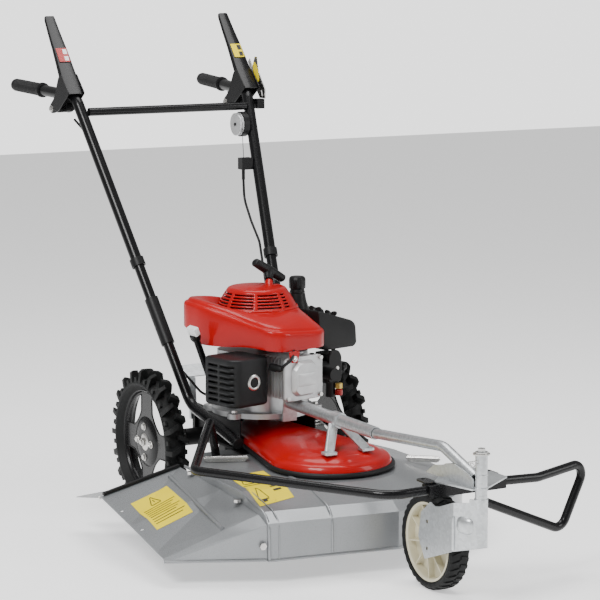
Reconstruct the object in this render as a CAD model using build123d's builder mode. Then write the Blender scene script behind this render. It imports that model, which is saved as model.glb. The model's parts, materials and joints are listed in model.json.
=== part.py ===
from build123d import *
from itertools import pairwise
from math import cos, radians, sin
import os

os.makedirs("parts", exist_ok=True)

# ---------------------------------------------------------------- driving dimensions, mm
# The part's origin is on the ground below the middle of its box.  The machine's own frame has
# x = 0 on its plane of symmetry, y = 0 at the rear axle and z = 0 on the ground; it drives
# towards -y, and +x is the operator's left.
MID_X = 59
AXLE_Y = 160

WHEEL_R = 168
WHEEL_W = 50
WHEEL_X = 235
TYRE_R = 146
RIM_R = 122
LUGS = 20
LUG_W = 13

CASTER_R = 100
CASTER_W = 46
CASTER_RIM_R = 81
STEM_Y = -1032
TRAIL = 168
STEM_R = 8
HEAD_R = 12.2
HEAD_LOW = 231.5
HEAD_HIGH = 312

SHEET = 2.5
RIM_Z = 50
SHOULDER_Z = 130
DECK_Z = 170
SPINDLE_Y = -430
CRANK_Y = -115
ENGINE_TURN = 12
BELT_Z = 190

FLANGE_Z = 240
CASE_Z = 252
SHROUD_Z = 408
DOME_Z = 474
DOME_TOP = 528
DOME_R = 91
DOME_U = -16
DOME_TOP_R = 62

RAIL_X = 105
HANDLE_LOW = (134, -12, 246)
HANDLE_JOINT = (178.2, 176.8, 560)
HANDLE_BEND = (233, 403, 941)
GRIP_END = (262, 716, 955)
LOWER_R = 12.5
UPPER_R = 13.5
TUBE_WALL = 2
CROSSBAR_Z = 905

PIVOT_Y = 490
PIVOT_Z = 908
PULLEY_R = 28
PULLEY_YZ = (360, 861)

RUN_FIT = 0.05
BODY_GAP = 0.4


def at(x, y, z):
    """A point given in the machine's frame."""
    return Vector(x + MID_X, y + AXLE_Y, z)


def level(z, x=0, y=0):
    """Horizontal plane: local x to the left of the machine, local y to the back."""
    return Plane(origin=at(x, y, z))


def side(x, y=0, z=0):
    """Upright plane facing +x: local x to the back, local y up."""
    return Plane(origin=at(x, y, z), x_dir=(0, 1, 0), z_dir=(1, 0, 0))


def front(y, x=0, z=0):
    """Upright plane facing the front: local x to the left of the machine, local y up."""
    return Plane(origin=at(x, y, z), x_dir=(1, 0, 0), z_dir=(0, -1, 0))


ENGINE = Plane(origin=at(0, CRANK_Y, 0), x_dir=(cos(radians(ENGINE_TURN)), sin(radians(ENGINE_TURN)), 0))


def engine_level(z, u=0, v=0):
    """Horizontal plane of the engine: local y to the back, u sideways and v forwards of the crank."""
    return Plane(origin=ENGINE.from_local_coords(Vector(u, -v, z)), x_dir=ENGINE.x_dir)


def engine_front(v, u=0, z=0):
    """Upright plane of the engine facing along its cylinder."""
    return Plane(origin=ENGINE.from_local_coords(Vector(u, -v, z)), x_dir=ENGINE.x_dir, z_dir=-ENGINE.y_dir)


def bent_tube(points, bends, radius, wall=0):
    """Tube of straight runs joined by arcs, hollow where a wall is given."""
    with BuildPart() as tube:
        with BuildLine() as route:
            if len(points) == 2:
                Line(*points)
            else:
                FilletPolyline(*points, radius=bends)
        with BuildSketch(Plane(origin=route.line @ 0, z_dir=route.line % 0)):
            Circle(radius)
            if wall:
                Circle(radius - wall, mode=Mode.SUBTRACT)
        sweep()
    return tube


def mirrored(xyz, hand):
    """The same point on the operator's left (hand 1) or right (hand -1)."""
    return at(hand * xyz[0], xyz[1], xyz[2])


def put(piece, label):
    """Label one finished piece and write it."""
    piece.label = label
    export_step(piece, f"parts/{label}.step")
    print(f"{label:22s} {len(piece.solids())} solids  {piece.volume / 1000:9.1f} cm3")


# ---------------------------------------------------------------- deck and chute
CHUTE_X = -288
CHUTE_OUT_X = -478
CHUTE_Y = (-266, -672)


DECK_BACK_Y = -158


def deck_outline(inset):
    """Plan of the deck, shrunk by inset, with room to spare at its chute side and its back."""
    with BuildSketch() as plan:
        with BuildLine():
            Polyline((CHUTE_X - 160, -658), (-150, -700), (0, -722))
            ThreePointArc((0, -722), (205, -637), (290, -430))
            Polyline((290, -430), (290, -50), (CHUTE_X - 160, -50), (CHUTE_X - 160, -658))
        make_face()
        if inset:
            offset(amount=-inset, kind=Kind.INTERSECTION)
    return plan.sketch


def deck_body(drop, inset):
    """Solid under the deck's surface, lowered and shrunk, trimmed at the chute and at the back."""
    outlines = [(z - drop, deck_outline(shrink + inset)) for z, shrink in DECK_LEVELS]
    with BuildPart() as body:
        for lower, upper in pairwise(outlines):
            for z, outline in (lower, upper):
                with BuildSketch(level(z)):
                    add(outline)
            loft()
        with BuildSketch(level(0)):
            Polygon(
                (CHUTE_X + inset, -800), (CHUTE_X + inset, -330), (-190, DECK_BACK_Y - inset),
                (190, DECK_BACK_Y - inset), (290 - inset, -320), (300, -430), (300, -800), align=None)
        extrude(amount=300, mode=Mode.INTERSECT)
    return body.part


# skirt, shoulder and top: height and inset of each outline
DECK_LEVELS = ((RIM_Z, 0), (SHOULDER_Z, 0), (148, 30), (DECK_Z, 130))
deck_outside, deck_inside = deck_body(0, 0), deck_body(SHEET, SHEET)
with BuildPart() as deck:
    add(deck_outside)
    add(deck_inside, mode=Mode.SUBTRACT)
    # the way out into the chute
    with BuildSketch(side(CHUTE_X - 10)):
        Polygon((-640, RIM_Z - 5), (-640, 118), (-345, 118), (-345, RIM_Z - 5), align=None)
    extrude(amount=20, mode=Mode.SUBTRACT)
    # hole for the spindle's bearing housing
    with BuildSketch(level(DECK_Z - 20, 0, SPINDLE_Y)):
        Circle(30)
    extrude(amount=40, mode=Mode.SUBTRACT)
put(deck.part, "deck_shell")

# Folds of the chute's sheet, each from the deck out to its edge: the back edge, two ribs, the
# fold over the front skirt and the skirt's rim.
CHUTE_FOLDS = (
    ((-266, 167), (-266, 122)), ((-470, 158), (-420, 92)), ((-640, 141), (-548, 64)),
    ((-676, 126), (-580, 58)), ((-676, 52), (-584, RIM_Z)))
CHUTE_SHEET = Vector(0.3, 1.5, -2)
with BuildPart() as chute:
    for fold, next_fold in pairwise(CHUTE_FOLDS):
        inner, outer = (
            [at(x, *edge[end]) for edge in (fold, next_fold)]
            for end, x in enumerate((CHUTE_X - BODY_GAP, CHUTE_OUT_X)))
        for corners in ((inner[0], outer[0], outer[1]), (inner[0], outer[1], inner[1])):
            with BuildLine() as facet:
                Polyline(*corners, corners[0])
            add(Solid.extrude(Face(Wire(facet.line.edges())), CHUTE_SHEET))
    # the two empty hook holes near its outer edge
    with Locations(at(-466, -352, 120), at(-466, -452, 100)):
        Hole(4, depth=80)
put(chute.part, "chute_plate")

# black rubber strip along the back edge of the chute
with BuildPart() as seal:
    with BuildSketch(side(CHUTE_X - 2)):
        Polygon((-272, 167.6), (-262, 167.6), (-262, 173), (-272, 173), align=None)
    with BuildSketch(side(CHUTE_OUT_X + 6)):
        Polygon((-272, 124.6), (-262, 124.6), (-262, 130), (-272, 130), align=None)
    loft()
put(seal.part, "chute_seal")

# Flap behind the chute, hung on the chute's back edge.
FLAP_HINGE = ((CHUTE_OUT_X + 4, -258, 118), (CHUTE_X - 4, -258, 161))
FLAP_TIP = ((-452, -72, 78), (-292, -176, 118))
flap_inner, flap_outer = at(*FLAP_HINGE[1]), at(*FLAP_HINGE[0])
FLAP_SHEET = 2
HINGE_LENGTH = (flap_inner - flap_outer).length
HINGE_ROD_R = 1.5
LUG_REACH = 4
hinge_rod = (flap_inner - flap_outer).normalized()
with BuildPart() as flap:
    corners = [at(*p) for p in (FLAP_HINGE[0], FLAP_HINGE[1], FLAP_TIP[1], FLAP_TIP[0])]
    with BuildLine() as first:
        Polyline(corners[0], corners[1], corners[2], corners[0])
    with BuildLine() as second:
        Polyline(corners[0], corners[2], corners[3], corners[0])
    for outline in (first, second):
        add(Solid.extrude(Face(Wire(outline.line.edges())), Vector(0, 0, -FLAP_SHEET)))
    # rolled hinge edge, bored from end to end
    with BuildSketch(Plane(origin=flap_outer, z_dir=hinge_rod)):
        Circle(2 * HINGE_ROD_R)
    extrude(amount=HINGE_LENGTH)
    with BuildSketch(Plane(origin=flap_outer - hinge_rod * LUG_REACH, z_dir=hinge_rod)):
        Circle(HINGE_ROD_R + RUN_FIT)
    extrude(amount=HINGE_LENGTH + 2 * LUG_REACH, mode=Mode.SUBTRACT)
put(flap.part, "rear_flap")

# Hinge barrels on the deck's top, each with a leaf, knuckles and a pin in one row.
HINGES = (((-226, -268), (-141, -304), DECK_Z + 1), ((182, -460), (236, -505), 166))
with BuildPart() as hinges:
    for (x0, y0), (x1, y1), seat_z in HINGES:
        run = Vector(x1 - x0, y1 - y0, 0)
        along = run.normalized()
        seat = Plane(origin=at(x0, y0, seat_z), x_dir=along)
        with BuildSketch(Plane(origin=seat.from_local_coords(Vector(0, 0, 7)), z_dir=along)):
            Circle(6.5)
        extrude(amount=run.length)
        with BuildSketch(seat):
            with Locations((run.length / 2, 0)):
                Rectangle(run.length - 6, 12)
        extrude(amount=4)
    # rod through the flap's rolled edge, in two lugs on the chute
    with BuildSketch(Plane(origin=flap_outer - hinge_rod * LUG_REACH, z_dir=hinge_rod)):
        Circle(HINGE_ROD_R)
    extrude(amount=HINGE_LENGTH + 2 * LUG_REACH)
    for end in (flap_outer - hinge_rod * LUG_REACH, flap_inner + hinge_rod * 1.5):
        with BuildSketch(Plane(origin=end, z_dir=hinge_rod)):
            Circle(4)
        extrude(amount=LUG_REACH - 1.5)
put(hinges.part, "deck_hinges")

# ---------------------------------------------------------------- belt cover over both pulleys


def belt_outline(front_r, back_r):
    """Teardrop round the spindle and the crank."""
    with BuildSketch() as plan:
        with Locations((0, SPINDLE_Y)):
            Circle(front_r)
        with Locations((0, CRANK_Y)):
            Circle(back_r)
        make_hull()
    return plan.sketch


COVER_LEVELS = ((184, 136, 70), (195, 133, 68), (208, 112, 60), (217, 60, 48))
with BuildPart() as cover:
    for wall, mode in ((0, Mode.ADD), (2, Mode.SUBTRACT)):
        outlines = [(z - wall, belt_outline(f - wall, b - wall)) for z, f, b in COVER_LEVELS]
        for lower, upper in pairwise(outlines):
            for z, outline in (lower, upper):
                with BuildSketch(level(z)):
                    add(outline)
            loft(mode=mode)
    # the crankshaft comes down through it
    with BuildSketch(level(180, 0, CRANK_Y)):
        Circle(24)
    extrude(amount=60, mode=Mode.SUBTRACT)
put(cover.part, "belt_cover")

trim_outer, trim_inner = belt_outline(142, 76), belt_outline(131, 65)
with BuildPart() as trim:
    with BuildSketch(level(DECK_Z + 2.6)):
        add(trim_outer)
        add(trim_inner, mode=Mode.SUBTRACT)
    extrude(amount=184 - DECK_Z - 2.6)
put(trim.part, "cover_trim")

# ---------------------------------------------------------------- frame and gearbox
RAIL_W = 20
RAIL_LOW = DECK_Z + 2.6
RAIL_HIGH = 239.8
with BuildPart() as frame_plate:
    # engine deck: the pulleys' floor behind the deck, between the rails and under the engine
    with BuildSketch(level(DECK_Z + 0.1)):
        with Locations((0, -133)):
            Rectangle(232, 212)
    extrude(amount=SHEET)
    for hand in (-1, 1):
        with BuildSketch(side(hand * RAIL_X - RAIL_W / 2)):
            with Locations((-75, (RAIL_LOW + RAIL_HIGH) / 2)):
                Rectangle(230, RAIL_HIGH - RAIL_LOW)
                Rectangle(230, RAIL_HIGH - RAIL_LOW - 6, mode=Mode.SUBTRACT)
        extrude(amount=RAIL_W)
        with BuildSketch(side(hand * RAIL_X - (RAIL_W / 2 if hand > 0 else -RAIL_W / 2 + 3))):
            with Locations((-75, (RAIL_LOW + RAIL_HIGH) / 2)):
                Rectangle(230, RAIL_HIGH - RAIL_LOW)
        extrude(amount=3)
    # cross member at the back of the rails
    with BuildSketch(level(RAIL_LOW)):
        with Locations((0, 34)):
            Rectangle(2 * RAIL_X, 12)
    extrude(amount=50)
    # saddles for the axle tube
    with BuildSketch(side(-125, 0, WHEEL_R)):
        Circle(20.2)
    extrude(amount=250, mode=Mode.SUBTRACT)
put(frame_plate.part, "main_frame")

AXLE_R = 10
with BuildPart() as gearbox:
    with BuildSketch(level(118)):
        RectangleRounded(96, 52, 12)
    extrude(amount=DECK_Z - 118 + 50)
    with BuildSketch(side(-150, 0, WHEEL_R)):
        Circle(20)
    extrude(amount=300)
    with BuildSketch(level(DECK_Z + 40)):
        RectangleRounded(60, 40, 10)
    extrude(amount=22)
    with BuildSketch(side(-151, 0, WHEEL_R)):
        Circle(AXLE_R + RUN_FIT)
    extrude(amount=302, mode=Mode.SUBTRACT)
put(gearbox.part, "gearbox")

with BuildPart() as rear_plate:
    with BuildSketch(side(-118)):
        Polygon((52, 300), (86, 322), (87.8, 319.4), (54, 297.4), align=None)
    extrude(amount=236)
    for hand in (-1, 1):
        with BuildSketch(side(hand * 100 - 8)):
            Polygon((40.2, 200), (50, 200), (56, 298.6), (48, 296), align=None)
        extrude(amount=16)
put(rear_plate.part, "rear_plate")

# ---------------------------------------------------------------- boom, head and caster
BOOM_Z = 279
BOOM_R = 14
with BuildPart() as boom:
    with BuildSketch(front(-246, 0, BOOM_Z)):
        Circle(BOOM_R)
        Circle(BOOM_R - TUBE_WALL, mode=Mode.SUBTRACT)
    extrude(amount=627 - 246)
    # the clamp collar that the struts are welded to
    with BuildSketch(front(-448, 0, BOOM_Z)):
        Circle(17)
        Circle(BOOM_R - 0.1, mode=Mode.SUBTRACT)
    extrude(amount=30)
    for hand in (-1, 1):
        foot, top = at(hand * 46, -508, 218), at(hand * 12, -464, BOOM_Z - 11)
        lean = Plane(origin=foot, z_dir=top - foot, x_dir=(1, 0, 0))
        with BuildSketch(lean):
            RectangleRounded(22, 9, 4)
        extrude(amount=(top - foot).length)
        with BuildSketch(Plane(origin=foot + Vector(0, 0, -2.5))):
            RectangleRounded(30, 26, 5)
        extrude(amount=5)
    # root of the boom: a strap welded to its end, bent down and back under the engine's flange
    with BuildSketch(side(-18)):
        Polygon((-252, 292), (-248, 292), (-242, 239.8), (-205, 239.8), (-205, 236), (-246, 236), align=None)
    extrude(amount=36)
put(boom.part, "boom_tube")

boom_route = [at(0, -628.5, BOOM_Z), at(0, -892, BOOM_Z + 23), at(0, STEM_Y + 20, 262)]
boom_front = bent_tube(boom_route, 60, BOOM_R - TUBE_WALL - 1, TUBE_WALL)
put(boom_front.part, "boom_front")

with BuildPart() as head:
    with BuildSketch(level(HEAD_LOW, 0, STEM_Y)):
        Circle(HEAD_R)
        Circle(STEM_R + RUN_FIT, mode=Mode.SUBTRACT)
    extrude(amount=HEAD_HIGH - HEAD_LOW)
    # gussets each side of the boom and the plate under it
    for hand in (-1, 1):
        with BuildSketch(side(hand * 14 - 1.5)):
            Polygon((STEM_Y + 8, 243), (STEM_Y + 8, 262), (-1000, 272), (-958, 280), (-880, 263), (-852, 243), align=None)
        extrude(amount=3)
    with BuildSketch(level(240.4)):
        Polygon((-18, STEM_Y + 4), (18, STEM_Y + 4), (104, -968), (104, -912), (-14, -898), (-44, -930), align=None)
    extrude(amount=3)
    with BuildSketch(level(230, 0, STEM_Y)):
        Circle(STEM_R + RUN_FIT)
    extrude(amount=60, mode=Mode.SUBTRACT)
put(head.part, "head_tube")

with BuildPart() as channel:
    with BuildSketch(side(-64, -930, 225)):
        Rectangle(30, 24)
        with Locations((0, -2)):
            Rectangle(25, 22.4, mode=Mode.SUBTRACT)
    extrude(amount=182)
    # ears that clamp the guard tubes
    for x in (-62, 88):
        with BuildSketch(level(237.2)):
            with Locations((x + 14, -905)):
                RectangleRounded(26, 46, 10)
            with Locations((x + 14, -892)):
                Circle(4, mode=Mode.SUBTRACT)
        extrude(amount=3)
put(channel.part, "front_channel")

GUARD_R = 9.5
left_points = ((-64.3, -930, 226), (-150, -934, 226), (-395, -556, 229), (-207, -256, 258), (-187, -246, 174))
guard_left = bent_tube([at(*p) for p in left_points], [60, 24, 12], GUARD_R, 2)
put(guard_left.part, "guard_left")
right_points = ((118.3, -934, 226), (205, -930, 222), (352, -898, 234), (284, -904, 96), (54, -946, 196))
guard_right = bent_tube([at(*p) for p in right_points], [40, 24, 26], GUARD_R, 2)
put(guard_right.part, "guard_right")

# caster: fork plates, wheel and its stem with a cap washer and nut
AXLE_CY = STEM_Y + TRAIL
FORK_FOLD_Y = -983
FORK_SIDE = ((STEM_Y - 14, 400), (STEM_Y - 14, 126), (-983, 109), (-876, 69), (-852, 112), (-862, 164), (-895, 191),
             (-911, 186), (-929, 189), (-981, 208), (STEM_Y + 13, 214), (STEM_Y + 13, 400))
with BuildPart() as fork:
    with BuildSketch(level(126, 0, STEM_Y)):
        Circle(STEM_R)
    extrude(amount=HEAD_HIGH + 8 - 126)
    with BuildSketch(level(126, 0, STEM_Y)):
        Circle(HEAD_R)
        Circle(STEM_R - 1, mode=Mode.SUBTRACT)
    extrude(amount=HEAD_LOW - 126 - BODY_GAP)
    # one sheet bent round the stem, with a cheek each side of the wheel
    with BuildSketch(level(60)):
        with BuildLine():
            Polyline((33, AXLE_CY + 14), (33, FORK_FOLD_Y), (12.6, STEM_Y - 5))
            ThreePointArc((12.6, STEM_Y - 5), (0, STEM_Y - 13.6), (-12.6, STEM_Y - 5))
            Polyline((-12.6, STEM_Y - 5), (-33, FORK_FOLD_Y), (-33, AXLE_CY + 14), (-30, AXLE_CY + 14),
                     (-30, FORK_FOLD_Y + 1), (-9.8, STEM_Y - 4))
            ThreePointArc((-9.8, STEM_Y - 4), (0, STEM_Y - 10.6), (9.8, STEM_Y - 4))
            Polyline((9.8, STEM_Y - 4), (30, FORK_FOLD_Y + 1), (30, AXLE_CY + 14), (33, AXLE_CY + 14))
        make_face()
    extrude(amount=222 - 60)
    # side view of the sheet; the rod and its tube stay whole
    with BuildSketch(side(-40)):
        Polygon(*FORK_SIDE, align=None)
    extrude(amount=80, mode=Mode.INTERSECT)
    # the cheek on the side guard's side is low, so that it swings under the guard
    with BuildSketch(level(158)):
        with Locations((42, STEM_Y + 110)):
            Rectangle(56, 190)
    extrude(amount=60, mode=Mode.SUBTRACT)
    with Locations(*[Location(at(-33, AXLE_CY - 21, z), (0, 90, 0)) for z in (93, 149)]):
        Hole(4, depth=12)
    # axle riveted in the cheeks
    with BuildSketch(side(-33.2, AXLE_CY, CASTER_R)):
        Circle(6)
    extrude(amount=66.4)
put(fork.part, "caster_fork")

with BuildPart() as cap:
    with BuildSketch(level(HEAD_HIGH + BODY_GAP, 0, STEM_Y)):
        Circle(17)
        Circle(STEM_R, mode=Mode.SUBTRACT)
    extrude(amount=2.6)
    with BuildSketch(level(HEAD_HIGH + 8, 0, STEM_Y)):
        RegularPolygon(8, 6)
    extrude(amount=5)
    with BuildSketch(level(HEAD_HIGH + 3, 0, STEM_Y)):
        Circle(13)
        Circle(STEM_R, mode=Mode.SUBTRACT)
    extrude(amount=3)
put(cap.part, "stem_cap")


with BuildPart() as caster_rim:
    with BuildSketch(Plane(origin=at(0, AXLE_CY, CASTER_R), x_dir=(1, 0, 0), z_dir=(0, -1, 0))):
        half = CASTER_W / 2 - 3
        Polygon(
            (-24, 6 + RUN_FIT), (24, 6 + RUN_FIT), (24, 17), (4, 20), (4, CASTER_RIM_R - 8), (half, CASTER_RIM_R - 6),
            (half, CASTER_RIM_R), (-half, CASTER_RIM_R), (-half, CASTER_RIM_R - 6), (-4, CASTER_RIM_R - 8), (-4, 20),
            (-24, 17), align=None)
    revolve(axis=Axis(at(0, AXLE_CY, CASTER_R), (1, 0, 0)))
    with BuildSketch(side(-half, AXLE_CY, CASTER_R)):
        with PolarLocations(CASTER_RIM_R / 2 + 5, 8):
            Rectangle(CASTER_RIM_R - 24, 3)
    extrude(amount=2 * half)
put(caster_rim.part, "caster_rim")

with BuildPart() as caster_tyre:
    with BuildSketch(Plane(origin=at(0, AXLE_CY, CASTER_R), x_dir=(1, 0, 0), z_dir=(0, -1, 0))):
        half = CASTER_W / 2
        Polygon(
            (-half + 3, CASTER_RIM_R), (half - 3, CASTER_RIM_R), (half, CASTER_RIM_R + 6), (half - 1, CASTER_R - 6),
            (half - 6, CASTER_R), (-half + 6, CASTER_R), (-half + 1, CASTER_R - 6), (-half, CASTER_RIM_R + 6),
            align=None)
    revolve(axis=Axis(at(0, AXLE_CY, CASTER_R), (1, 0, 0)))
put(caster_tyre.part, "caster_tyre")

# ---------------------------------------------------------------- driven rear wheels
for hand, word in ((1, "left"), (-1, "right")):
    centre = at(hand * WHEEL_X, 0, WHEEL_R)
    half = WHEEL_W / 2
    section = Plane(origin=centre, x_dir=(1, 0, 0), z_dir=(0, -1, 0))
    spin = Axis(centre, (1, 0, 0))
    with BuildPart() as rim:
        with BuildSketch(section):
            Polygon(
                (-half + 8, RIM_R - 4), (-half + 8, RIM_R), (half - 8, RIM_R), (half - 8, RIM_R - 4),
                (2, RIM_R - 6), (2, 40), (14, 36), (14, 20), (-22, 20), (-22, 26), (-2, 40), (-2, RIM_R - 6),
                align=None)
        revolve(axis=spin)
        # windows of the pressed disc
        with BuildSketch(side(hand * WHEEL_X - 20, 0, WHEEL_R)):
            with PolarLocations(0, 4, start_angle=45):
                with Locations((78, 0)):
                    Polygon((-22, -26), (26, -44), (34, 0), (26, 44), (-22, 26), (-28, 0), align=None)
        extrude(amount=40, mode=Mode.SUBTRACT)
        # half-shaft that drives it, and its nut and bolts
        with BuildSketch(side(hand * WHEEL_X + hand * 20, 0, WHEEL_R)):
            Circle(AXLE_R)
        extrude(amount=-hand * (WHEEL_X + 18))
        with BuildSketch(side(hand * (WHEEL_X + 14), 0, WHEEL_R)):
            Circle(21)
        extrude(amount=hand * 3)
        with BuildSketch(side(hand * (WHEEL_X + 17), 0, WHEEL_R)):
            RegularPolygon(11, 6)
        extrude(amount=hand * 8)
        with BuildSketch(side(hand * (WHEEL_X + 2), 0, WHEEL_R)):
            with PolarLocations(46, 4):
                RegularPolygon(7, 6)
        extrude(amount=hand * 6)
    put(rim.part, f"wheel_rim_{word}")

    with BuildPart() as tyre:
        with BuildSketch(section):
            Polygon(
                (-half + 8, RIM_R), (half - 8, RIM_R), (half, RIM_R + 14), (half, TYRE_R - 8), (half - 6, TYRE_R),
                (-half + 6, TYRE_R), (-half, TYRE_R - 8), (-half, RIM_R + 14), align=None)
        revolve(axis=spin)
        # chevron lugs, in two rows half a pitch apart
        for row in (-1, 1):
            with BuildSketch(side(hand * WHEEL_X + (0 if row > 0 else -half), 0, WHEEL_R)):
                with PolarLocations(TYRE_R - 3, LUGS, start_angle=row * 90 / LUGS):
                    with Locations(((WHEEL_R - TYRE_R + 3) / 2, 0)):
                        Rectangle(WHEEL_R - TYRE_R + 3, LUG_W)
            extrude(amount=half)
    put(tyre.part, f"wheel_tyre_{word}")

# ---------------------------------------------------------------- blade and its drive
BLADE_Z = 66
with BuildPart() as housing:
    with BuildSketch(level(104, 0, SPINDLE_Y)):
        Circle(29.5)
    extrude(amount=DECK_Z + 2 - 104)
    with BuildSketch(level(DECK_Z + 0.1, 0, SPINDLE_Y)):
        Circle(52)
    extrude(amount=5)
    with BuildSketch(level(100, 0, SPINDLE_Y)):
        Circle(12 + RUN_FIT)
    extrude(amount=90, mode=Mode.SUBTRACT)
put(housing.part, "spindle_housing")

with BuildPart() as spindle:
    with BuildSketch(level(92, 0, SPINDLE_Y)):
        Circle(12)
    extrude(amount=108)
    with BuildSketch(level(BLADE_Z + 4, 0, SPINDLE_Y)):
        Circle(30)
    extrude(amount=92 - BLADE_Z - 4)
put(spindle.part, "blade_spindle")

with BuildPart() as blade:
    with BuildSketch(level(BLADE_Z, 0, SPINDLE_Y)):
        Rectangle(520, 62)
        with Locations((252, -26), (-252, 26)):
            Rectangle(60, 30, rotation=24, mode=Mode.SUBTRACT)
        Circle(6, mode=Mode.SUBTRACT)
    extrude(amount=4)
put(blade.part, "blade")

with BuildPart() as blade_bolt:
    with BuildSketch(level(BLADE_Z - 9, 0, SPINDLE_Y)):
        RegularPolygon(10, 6)
    extrude(amount=7)
    with BuildSketch(level(BLADE_Z - 2, 0, SPINDLE_Y)):
        Circle(22)
    extrude(amount=2)
    with BuildSketch(level(BLADE_Z, 0, SPINDLE_Y)):
        Circle(6)
    extrude(amount=4)
put(blade_bolt.part, "blade_bolt")

BELT_W = 13
SPINDLE_PULLEY_R = 62
CRANK_PULLEY_R = 42


def grooved_pulley(centre_y, radius, bore):
    """V-belt pulley on an upright axis, its groove level with the belt."""
    with BuildPart() as pulley:
        with BuildSketch(Plane(origin=at(0, centre_y, BELT_Z), x_dir=(1, 0, 0), z_dir=(0, -1, 0))):
            Polygon(
                (bore, -9), (radius + 4, -9), (radius + 4, -8), (radius - 6, -3), (radius - 6, 3), (radius + 4, 8),
                (radius + 4, 9), (bore, 9), align=None)
        revolve(axis=Axis(at(0, centre_y, 0), (0, 0, 1)))
    return pulley


put(grooved_pulley(SPINDLE_Y, SPINDLE_PULLEY_R, 12.02).part, "spindle_pulley")
put(grooved_pulley(CRANK_Y, CRANK_PULLEY_R, 11.02).part, "crank_pulley")

belt_outer = belt_outline(SPINDLE_PULLEY_R + 3, CRANK_PULLEY_R + 3)
belt_inner = belt_outline(SPINDLE_PULLEY_R - 4.5, CRANK_PULLEY_R - 4.5)
with BuildPart() as belt:
    with BuildSketch(level(BELT_Z - 3)):
        add(belt_outer)
        add(belt_inner, mode=Mode.SUBTRACT)
    extrude(amount=6)
put(belt.part, "drive_belt")

# ---------------------------------------------------------------- engine
FLANGE_LOBES = ((90, 80), (-115, 37), (115, -37), (-90, -80))
with BuildPart() as crankcase:
    with BuildSketch(engine_level(FLANGE_Z)):
        Circle(118)
        with Locations(*[(u, -v) for u, v in FLANGE_LOBES]):
            Circle(16)
        Circle(13, mode=Mode.SUBTRACT)
    extrude(amount=CASE_Z - FLANGE_Z)
    with BuildSketch(engine_level(CASE_Z)):
        RectangleRounded(168, 176, 40)
    extrude(amount=SHROUD_Z - 26 - CASE_Z)
    # boss that the oil filler tube stands on
    with BuildSketch(engine_level(286, -122, 0)):
        RectangleRounded(80, 26, 8)
    extrude(amount=34)
    # room for the crank inside
    with BuildSketch(engine_level(FLANGE_Z - 1)):
        Circle(11 + RUN_FIT)
    extrude(amount=200, mode=Mode.SUBTRACT)
    with BuildSketch(engine_level(CASE_Z + 26)):
        Circle(58)
    extrude(amount=70, mode=Mode.SUBTRACT)
put(crankcase.part, "crankcase")

with BuildPart() as crankshaft:
    with BuildSketch(engine_level(BELT_Z - 12)):
        Circle(11)
    extrude(amount=DOME_Z - BELT_Z)
    with BuildSketch(engine_level(CASE_Z + 34)):
        Circle(40)
    extrude(amount=14)
    with BuildSketch(engine_level(CASE_Z + 74)):
        Circle(40)
    extrude(amount=14)
    # flywheel with its fan blades, under the dome
    with BuildSketch(engine_level(SHROUD_Z + 20)):
        Circle(76)
    extrude(amount=14)
    with BuildSketch(engine_level(SHROUD_Z + 34)):
        with PolarLocations(54, 16):
            Rectangle(20, 3, rotation=30)
    extrude(amount=14)
put(crankshaft.part, "crankshaft")

HEAD_U = -40
HEAD_Z = 346
COVER_V = (184, 212)
with BuildPart() as cylinder:
    with BuildSketch(engine_front(89, HEAD_U, 345)):
        Rectangle(76, 66)
    extrude(amount=COVER_V[0] - 89)
    for fin in range(7):
        with BuildSketch(engine_front(98 + 12 * fin, HEAD_U, 345)):
            RectangleRounded(96, 94, 8)
        extrude(amount=3)
put(cylinder.part, "cylinder")

with BuildPart() as valve_cover:
    with BuildSketch(engine_front(COVER_V[0], HEAD_U, HEAD_Z)):
        RectangleRounded(112, 100, 12)
    extrude(amount=8)
    with BuildSketch(engine_front(COVER_V[0] + 8, HEAD_U, HEAD_Z)):
        Polygon((-24, -40), (24, -40), (36, -28), (36, 24), (22, 40), (-22, 40), (-36, 24), (-36, -28), align=None)
    extrude(amount=COVER_V[1] - COVER_V[0] - 8, taper=12)
put(valve_cover.part, "valve_cover")

MUFFLER_U = (-208, -106)
MUFFLER_V = (44, 150)
MUFFLER_Z = (288, 398)
OUTLET = (-149, 343, 11)
with BuildPart() as muffler:
    with BuildSketch(engine_level(MUFFLER_Z[0], (MUFFLER_U[0] + MUFFLER_U[1]) / 2, sum(MUFFLER_V) / 2)):
        RectangleRounded(MUFFLER_U[1] - MUFFLER_U[0], MUFFLER_V[1] - MUFFLER_V[0], 26)
    extrude(amount=MUFFLER_Z[1] - MUFFLER_Z[0])
    with BuildSketch(engine_level(MUFFLER_Z[0] + 2, (MUFFLER_U[0] + MUFFLER_U[1]) / 2, sum(MUFFLER_V) / 2)):
        RectangleRounded(MUFFLER_U[1] - MUFFLER_U[0] - 4, MUFFLER_V[1] - MUFFLER_V[0] - 4, 24)
    extrude(amount=MUFFLER_Z[1] - MUFFLER_Z[0] - 4, mode=Mode.SUBTRACT)
    # the outlet pipe in its guard
    with BuildSketch(engine_front(MUFFLER_V[1] - 40, OUTLET[0], OUTLET[1])):
        Circle(OUTLET[2] + 3)
    extrude(amount=42)
    with BuildSketch(engine_front(MUFFLER_V[1] - 41, OUTLET[0], OUTLET[1])):
        Circle(OUTLET[2])
    extrude(amount=50, mode=Mode.SUBTRACT)
    # slots in its outer side
    with BuildSketch(engine_front(70, 0, 0)):
        for row in range(7):
            with Locations((MUFFLER_U[0], MUFFLER_Z[0] + 16 + 13 * row)):
                Rectangle(14, 6)
    extrude(amount=52, mode=Mode.SUBTRACT)
put(muffler.part, "muffler")

# shroud over the flywheel, with its recoil dome
SHROUD = ((-118, 188), (29, 188), (66, 128), (80, 60), (80, -70), (50, -108), (-120, -114), (-165, -94),
          (-168, -6), (-140, 66))


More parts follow.
